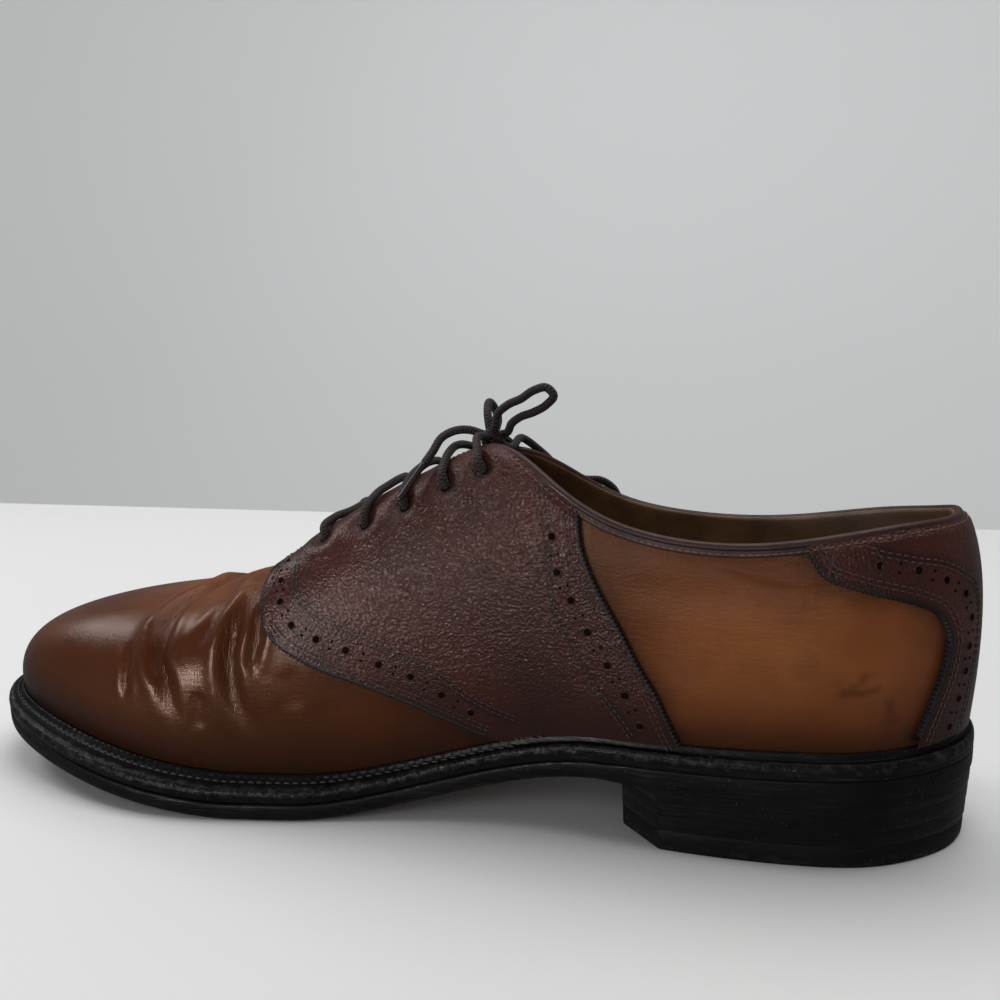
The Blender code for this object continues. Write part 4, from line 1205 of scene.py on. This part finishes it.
def make_topline():
    """The bead round the collar and the facings, its band and stitches, and the eyelets."""
    ring = np.linspace(0, 2, 1100)
    centre = skin(ring, 1.0) - normals(ring, 1.0) * (WALL / 2 - OVERLAY_LIFT)
    dress(tube("collar_binding", centre, BEAD, BINDING, 16), "saddle_leather")
    v, height = (values[:, None] for values in np.array(BAND_ROWS).T)
    strips = []
    for low, high in (BAND, (2.0 - BAND[1], 2.0 - BAND[0])):
        points = dressed(np.linspace(low, high, 150)[None], v, height)
        strips.append(grid_piece(f"band_{len(strips)}", points, False, BINDING))
    dress(joined("collar_band", strips), "saddle_leather")
    uv = polyline([(value, TOPLINE) for value in np.linspace(0.0, 0.70, 36)], STITCH)
    on_band = (uv[:, 0] > BAND[0]) & (uv[:, 0] < BAND[1])
    height = np.where(on_band, OVER_BAND, panel_height(uv[:, 1]))
    places = [line_on(way, height) for way in (uv, mirrored(uv))]
    stitches = scattered("topline_stitches", stitch_shape(STITCH_LENGTH, THREAD), places, THREAD_TAN)
    dress(stitches, "saddle_leather")
    hole = lathe_shape(((0.0021, -0.0001), (0.0017, 0.0003), (0.0012, 0.0002), (0.0, -0.0003)), 18)
    places = []
    for eyelet_u, v, _ in EYELETS:
        for side_u in (eyelet_u, 2.0 - eyelet_u):
            uv = np.array([(side_u, v), (side_u + 0.004, v)])
            points, out, along = line_on(uv, OVERLAY + OVERLAY_LIFT - EYELET_DEPTH)
            places.append((points[:1], out[:1], along[:1]))
    # The eyelets are dark dished discs: painted shade for the holes.
    dress(scattered("eyelets", hole, places, HOLE_SHADE), "saddle_leather")


def make_tongue():
    depth = -(WALL + TONGUE_DROP)
    rungs = []
    for edge_u, edge_v, middle_u in TONGUE_RUNGS:
        medial, lateral = lifted(edge_u, edge_v, depth), lifted(2.0 - edge_u, edge_v, depth)
        middle = 0.5 * sum(lifted(at, TONGUE_MIDDLE, depth) for at in (middle_u, 2.0 - middle_u))
        rungs.append([medial, middle, lateral])
    rungs = np.array(rungs)
    along = np.linspace(0, 1, len(rungs))
    across = np.linspace(-1, 1, 41)[:, None]
    top, under = [], []
    slopes = np.gradient(rungs, along, axis=0)
    for t in np.linspace(0, 1, 90):
        a, b, c = (curve_at(along, rungs[:, k], slopes[:, k], t) for k in range(3))
        lane = a * across * (across - 1) / 2 + b * (1 - across**2) + c * across * (across + 1) / 2
        top.append(lane)
        under.append(lane - (0.0, 0.0, TONGUE_THICKNESS))
    top, under = np.array(top), np.array(under)
    shell = np.concatenate([top, under[:, ::-1]], 1)
    piece = grid_piece("tongue_leather", shell, True, TONGUE_BROWN)
    mesh, count = piece.data, shell.shape[1]
    ends = bmesh.new()
    ends.from_mesh(mesh)
    ends.verts.ensure_lookup_table()
    for base in (0, (len(shell) - 1) * count):
        ends.faces.new([ends.verts[base + i] for i in range(count)])
    ends.to_mesh(mesh)
    ends.free()
    dress(piece, "tongue", "tongue")


# Bottom


def raised(plan, z):
    return np.concatenate([plan, np.broadcast_to(z, plan.shape[:-1])[..., None]], -1)


def rungs_across(base, count):
    """Quads that fill a loop whose first half and second half mirror each other."""
    half = count // 2
    return [(base + i, base + i + 1, base + count - 1 - i, base + (count - i) % count) for i in range(half)]


def make_welt():
    u = np.linspace(0, 2, WELT_STEPS, endpoint=False)
    half, _ = half_of(u)
    edge, root, out = outline(u), feather(u), edge_out(u)
    margin = np.linalg.norm(edge - root, axis=1)
    base = sole_bottom(edge[:, 0]) + OUTSOLE_THICKNESS
    ridge = feather_height(root[:, 0]) - base
    fore = ease((half - 0.34) / 0.10)
    way = lengths_along(edge)
    notch = np.cos(way / WELT_STITCH * math.tau) * 0.5 + 0.5
    profile = (  # outwards from the upper's foot as shares of the margin, height, share of the notches
        (-0.45, 0.94, 0.0), (0.02, 0.97, 0.0), (0.07, 1.03, 0.15), (0.13, 1.02, 0.6), (0.18, 0.95, 1.0),
        (0.24, 0.86, 0.9), (0.30, 0.775, 0.4), (0.36, WELT_SHELF, 0.0), (0.42, WELT_SHELF, 0.0),
        (0.55, WELT_SHELF, 0.0), (0.70, 0.71, 0.0), (0.82, 0.68, 0.0), (0.91, 0.63, 0.0), (0.97, 0.53, 0.0),
        (1.00, 0.40, 0.0), (0.995, 0.24, 0.0), (0.97, 0.10, 0.0), (0.93, 0.03, 0.0), (0.70, 0.03, 0.0),
    )
    rows, scuff_and_highlight_mask = [], []
    for share, height, notched in profile:
        tight = 1.0 + (1.0 - share) * (1.0 - fore) * (height < 0.45) * (share > 0.9) * 0.9
        plan = root + out * (margin * share * tight)[:, None]
        z = base + ridge * height - notch * notched * NOTCH * fore
        rows.append(raised(plan, z))
        # The rounded outer edge: scuffs, and a painted highlight where the edge catches the light.
        scuff_and_highlight_mask.append(np.full(len(u), float(0.62 < share and 0.30 < height < 0.72)))
    scuff_and_highlight_mask = np.array(scuff_and_highlight_mask)
    colours = np.stack([scuff_and_highlight_mask, 0 * scuff_and_highlight_mask, 0 * scuff_and_highlight_mask], -1)
    dress(grid_piece("welt_strip", np.array(rows), True, WELT_BLACK, colours), "welt", "welt")
    stitch_u = np.interp(np.arange(0, way[-1], WELT_STITCH), way, u)
    stitch_u = stitch_u[half_of(stitch_u)[0] > WELT_SEAM_FROM]
    edge, root, out = outline(stitch_u), feather(stitch_u), edge_out(stitch_u)
    plan = root + WELT_SEAM * (edge - root)
    z = sole_bottom(edge[:, 0]) + OUTSOLE_THICKNESS
    z = z + WELT_SHELF * (feather_height(root[:, 0]) - z) + 0.0001
    points = raised(plan, z)
    along = np.gradient(points, axis=0)
    up = np.broadcast_to((0.0, 0.0, 1.0), points.shape)
    along = unit(along - up * (along * up).sum(1)[:, None])
    shape = stitch_shape(0.82 * WELT_STITCH, WELT_THREAD)
    dress(scattered("welt_stitches", shape, [(points, up, along)], THREAD_BLACK), "welt")


def make_outsole():
    u = np.linspace(0, 2, SOLE_STEPS, endpoint=False)
    half, _ = half_of(u)
    profile = (  # inset, and height as a share of the thickness
        (0.0030, 1.0), (0.0008, 0.995), (0.0002, 0.93), (0.0, 0.82), (0.0, 0.60), (0.0, 0.40), (0.0001, 0.24),
        (0.0003, 0.12), (0.0007, 0.045), (0.0012, 0.0), (0.0030, 0.0),
    )
    rows, colours = [], []
    waist = ease((half - 0.30) / 0.05) * ease((0.60 - half) / 0.06)
    over_heel = ease((0.335 - half) / 0.03)
    for inset, share in profile:
        plan = outline(u) - edge_out(u) * (inset * (1.0 - 0.8 * over_heel))[:, None]
        rows.append(raised(plan, sole_bottom(plan[:, 0]) + share * OUTSOLE_THICKNESS))
        rubbed = 0.8 * waist * (0.04 < share < 0.2)
        bare = 0.9 * waist * (share < 0.1) * (inset < 0.002)
        colours.append(np.stack([rubbed, bare, 0 * bare], -1))
    count = len(u)
    edge = grid_piece("outsole_leather", np.array(rows[:-1]), True, SOLE_BLACK, np.array(colours[:-1]))
    dress(edge, "sole_edge", "outsole")
    faces = grid_faces(2, count, closed=True) + rungs_across(count, count)
    dress(mesh_piece("outsole_bottom", np.array(rows[-2:]), faces, TREAD), "sole_edge")


def heel_ring(inset):
    """Plan points round the heel at an inset, its breast across and the inner front corner cut away."""
    start = float(np.interp(BREAST, TABLE["run"], KNOTS))
    back = np.linspace(0, start, HEEL_STEPS)
    u = np.concatenate([back, np.linspace(2.0 - start, 2.0, HEEL_STEPS)[:-1]])
    plan = outline(u, inset)
    breast_x = SHOE_LENGTH * (0.5 - BREAST)
    corner_y = outline(np.array([start]), inset)[0, 1]
    cut = corner_y + CORNER_CUT - (plan[:, 0] - breast_x)
    medial = half_of(u)[1] < 0
    plan[:, 1] = np.where(medial, np.maximum(plan[:, 1], cut), plan[:, 1])
    corners = plan[HEEL_STEPS - 1], plan[HEEL_STEPS]
    breast = corners[0] + (corners[1] - corners[0]) * np.linspace(0, 1, 42)[1:-1, None]
    return np.concatenate([plan[:HEEL_STEPS], breast, plan[HEEL_STEPS:]])


def heel_levels(heights, taper, groove):
    """Rings between heights given as functions of x: lifts with a fine groove at each end."""
    rings = []
    for low, high in zip(heights[:-1], heights[1:]):
        for share, deeper in ((0.0, groove), (0.04, 0.0), (0.5, -0.00005), (0.96, 0.0), (1.0, groove)):
            level = len(rings) / (5.0 * (len(heights) - 1))
            plan = heel_ring(taper[0] + (taper[1] - taper[0]) * level + deeper)
            rings.append(raised(plan, low(plan[:, 0]) * (1 - share) + high(plan[:, 0]) * share))
    return np.array(rings)


def make_heel():
    seat = lambda x: sole_bottom(x) - STACK_GAP
    lifts = [lambda x: TOP_LIFT + STACK_GAP + 0 * x]
    for share in HEEL_LIFTS:
        lifts.append(lambda x, share=share: TOP_LIFT + share * (sole_bottom(x) - TOP_LIFT))
    tip = [lambda x: 0 * x, lambda x: TIP_GROOVE + 0 * x, lambda x: TOP_LIFT + 0 * x]
    stack = heel_levels(lifts + [seat], (HEEL_TAPER * 4 / 3, HEEL_TAPER / 3), 0.00007)
    tip = heel_levels(tip, (HEEL_TAPER * 7 / 3, HEEL_TAPER * 4 / 3), 0.00018)
    for name, rings, finish, slot, node in (
        ("heel_lifts", stack, HEEL_BLACK, "heel_stack", "heel_stack"),
        ("heel_tip", tip, LIFT_BLACK, "top_lift", "top_lift"),
    ):
        count = rings.shape[1]
        faces = grid_faces(len(rings), count, closed=True) + end_faces(len(rings), count, count)
        low = rings[..., 2] < HEEL_SCUFF
        piece = mesh_piece(name, rings, faces, finish, np.stack([low, 0 * low, 0 * low], -1) * 0.8)
        piece.data.set_sharp_from_angle(angle=math.radians(35))
        dress(piece, slot, node)


def finish_insole():
    bpy.data.objects["insole"].data.materials[0] = SOCK


# Surroundings
FLOOR = ((-1.5, -1.5), (1.5, -1.5), (1.5, 0.360), (-1.5, 0.322))  # plan; the far edge shows behind the shoe
FLOOR_THICKNESS = 0.03
WALL_AT = 1.3


def make_floor():
    n = Nodes("floor")
    cloud = n.noise(3.0, 3.0)
    white = n.blend(cloud, (0.80, 0.80, 0.79), (0.74, 0.74, 0.735))
    finish = n.done(white, 0.6, n.bump(n.noise(800.0, 2.0), 0.00006))
    corners = [(x, y, z) for z in (0.0, -FLOOR_THICKNESS) for x, y in FLOOR]
    faces = [(0, 1, 2, 3), (3, 2, 6, 7), (0, 3, 7, 4), (1, 0, 4, 5), (2, 1, 5, 6)]
    floor = mesh_piece("floor", corners, faces, finish, smooth=False)
    n = Nodes("wall")
    grey = n.blend(n.noise(0.6, 2.0), (0.62, 0.63, 0.645), (0.56, 0.57, 0.585))
    wall_finish = n.done(grey, 0.9, None, Emission_Color=(0.94, 0.955, 0.94, 1.0), Emission_Strength=0.33)
    wall = mesh_piece("wall", [(-6, WALL_AT, -3), (6, WALL_AT, -3), (6, WALL_AT, 5), (-6, WALL_AT, 5)],
                      [(0, 1, 2, 3)], wall_finish, smooth=False)
    floor.visible_glossy = wall.visible_glossy = False


def add_light(name, at, towards, size, power, spread=180, shine=True, fill=True):
    data = bpy.data.lights.new(name, "AREA")
    data.shape = "RECTANGLE"
    data.size, data.size_y = size
    data.energy = power
    data.spread = math.radians(spread)
    light = bpy.data.objects.new(name, data)
    light.location = at
    light.visible_glossy = shine
    light.visible_diffuse = fill
    light.rotation_euler = (Vector(towards) - Vector(at)).to_track_quat("-Z", "Y").to_euler()
    bpy.context.scene.collection.objects.link(light)


def add_lights():
    add_light("overhead", (0.10, 0.20, 1.10), (0.0, 0.0, 0.05), (1.2, 0.9), 9.0)
    add_light("window", (-0.60, -1.15, 0.26), (0.0, 0.0, 0.05), (0.30, 0.13), 3.0, 100, fill=False)
    add_light("low_window", (0.16, -1.20, 0.08), (0.05, 0.0, 0.06), (0.60, 0.10), 0.35, 100, fill=False)
    add_light("front", (-0.25, -1.10, 0.75), (0.0, 0.0, 0.05), (0.80, 0.50), 2.0, shine=False)
    add_light("left", (-0.75, 0.10, 0.62), (-0.05, 0.0, 0.07), (0.30, 0.30), 2.2)
    world = bpy.data.worlds.new("studio")
    world.use_nodes = True
    world.node_tree.nodes["Background"].inputs["Color"].default_value = (0.90, 0.94, 0.96, 1.0)
    world.node_tree.nodes["Background"].inputs["Strength"].default_value = 0.18
    bpy.context.scene.world = world
    bpy.context.scene.view_settings.view_transform = "Standard"


add_camera()
make_lace()
make_upper()
make_panels()
make_topline()
make_tongue()
make_welt()
make_outsole()
make_heel()
finish_insole()
make_floor()
add_lights()
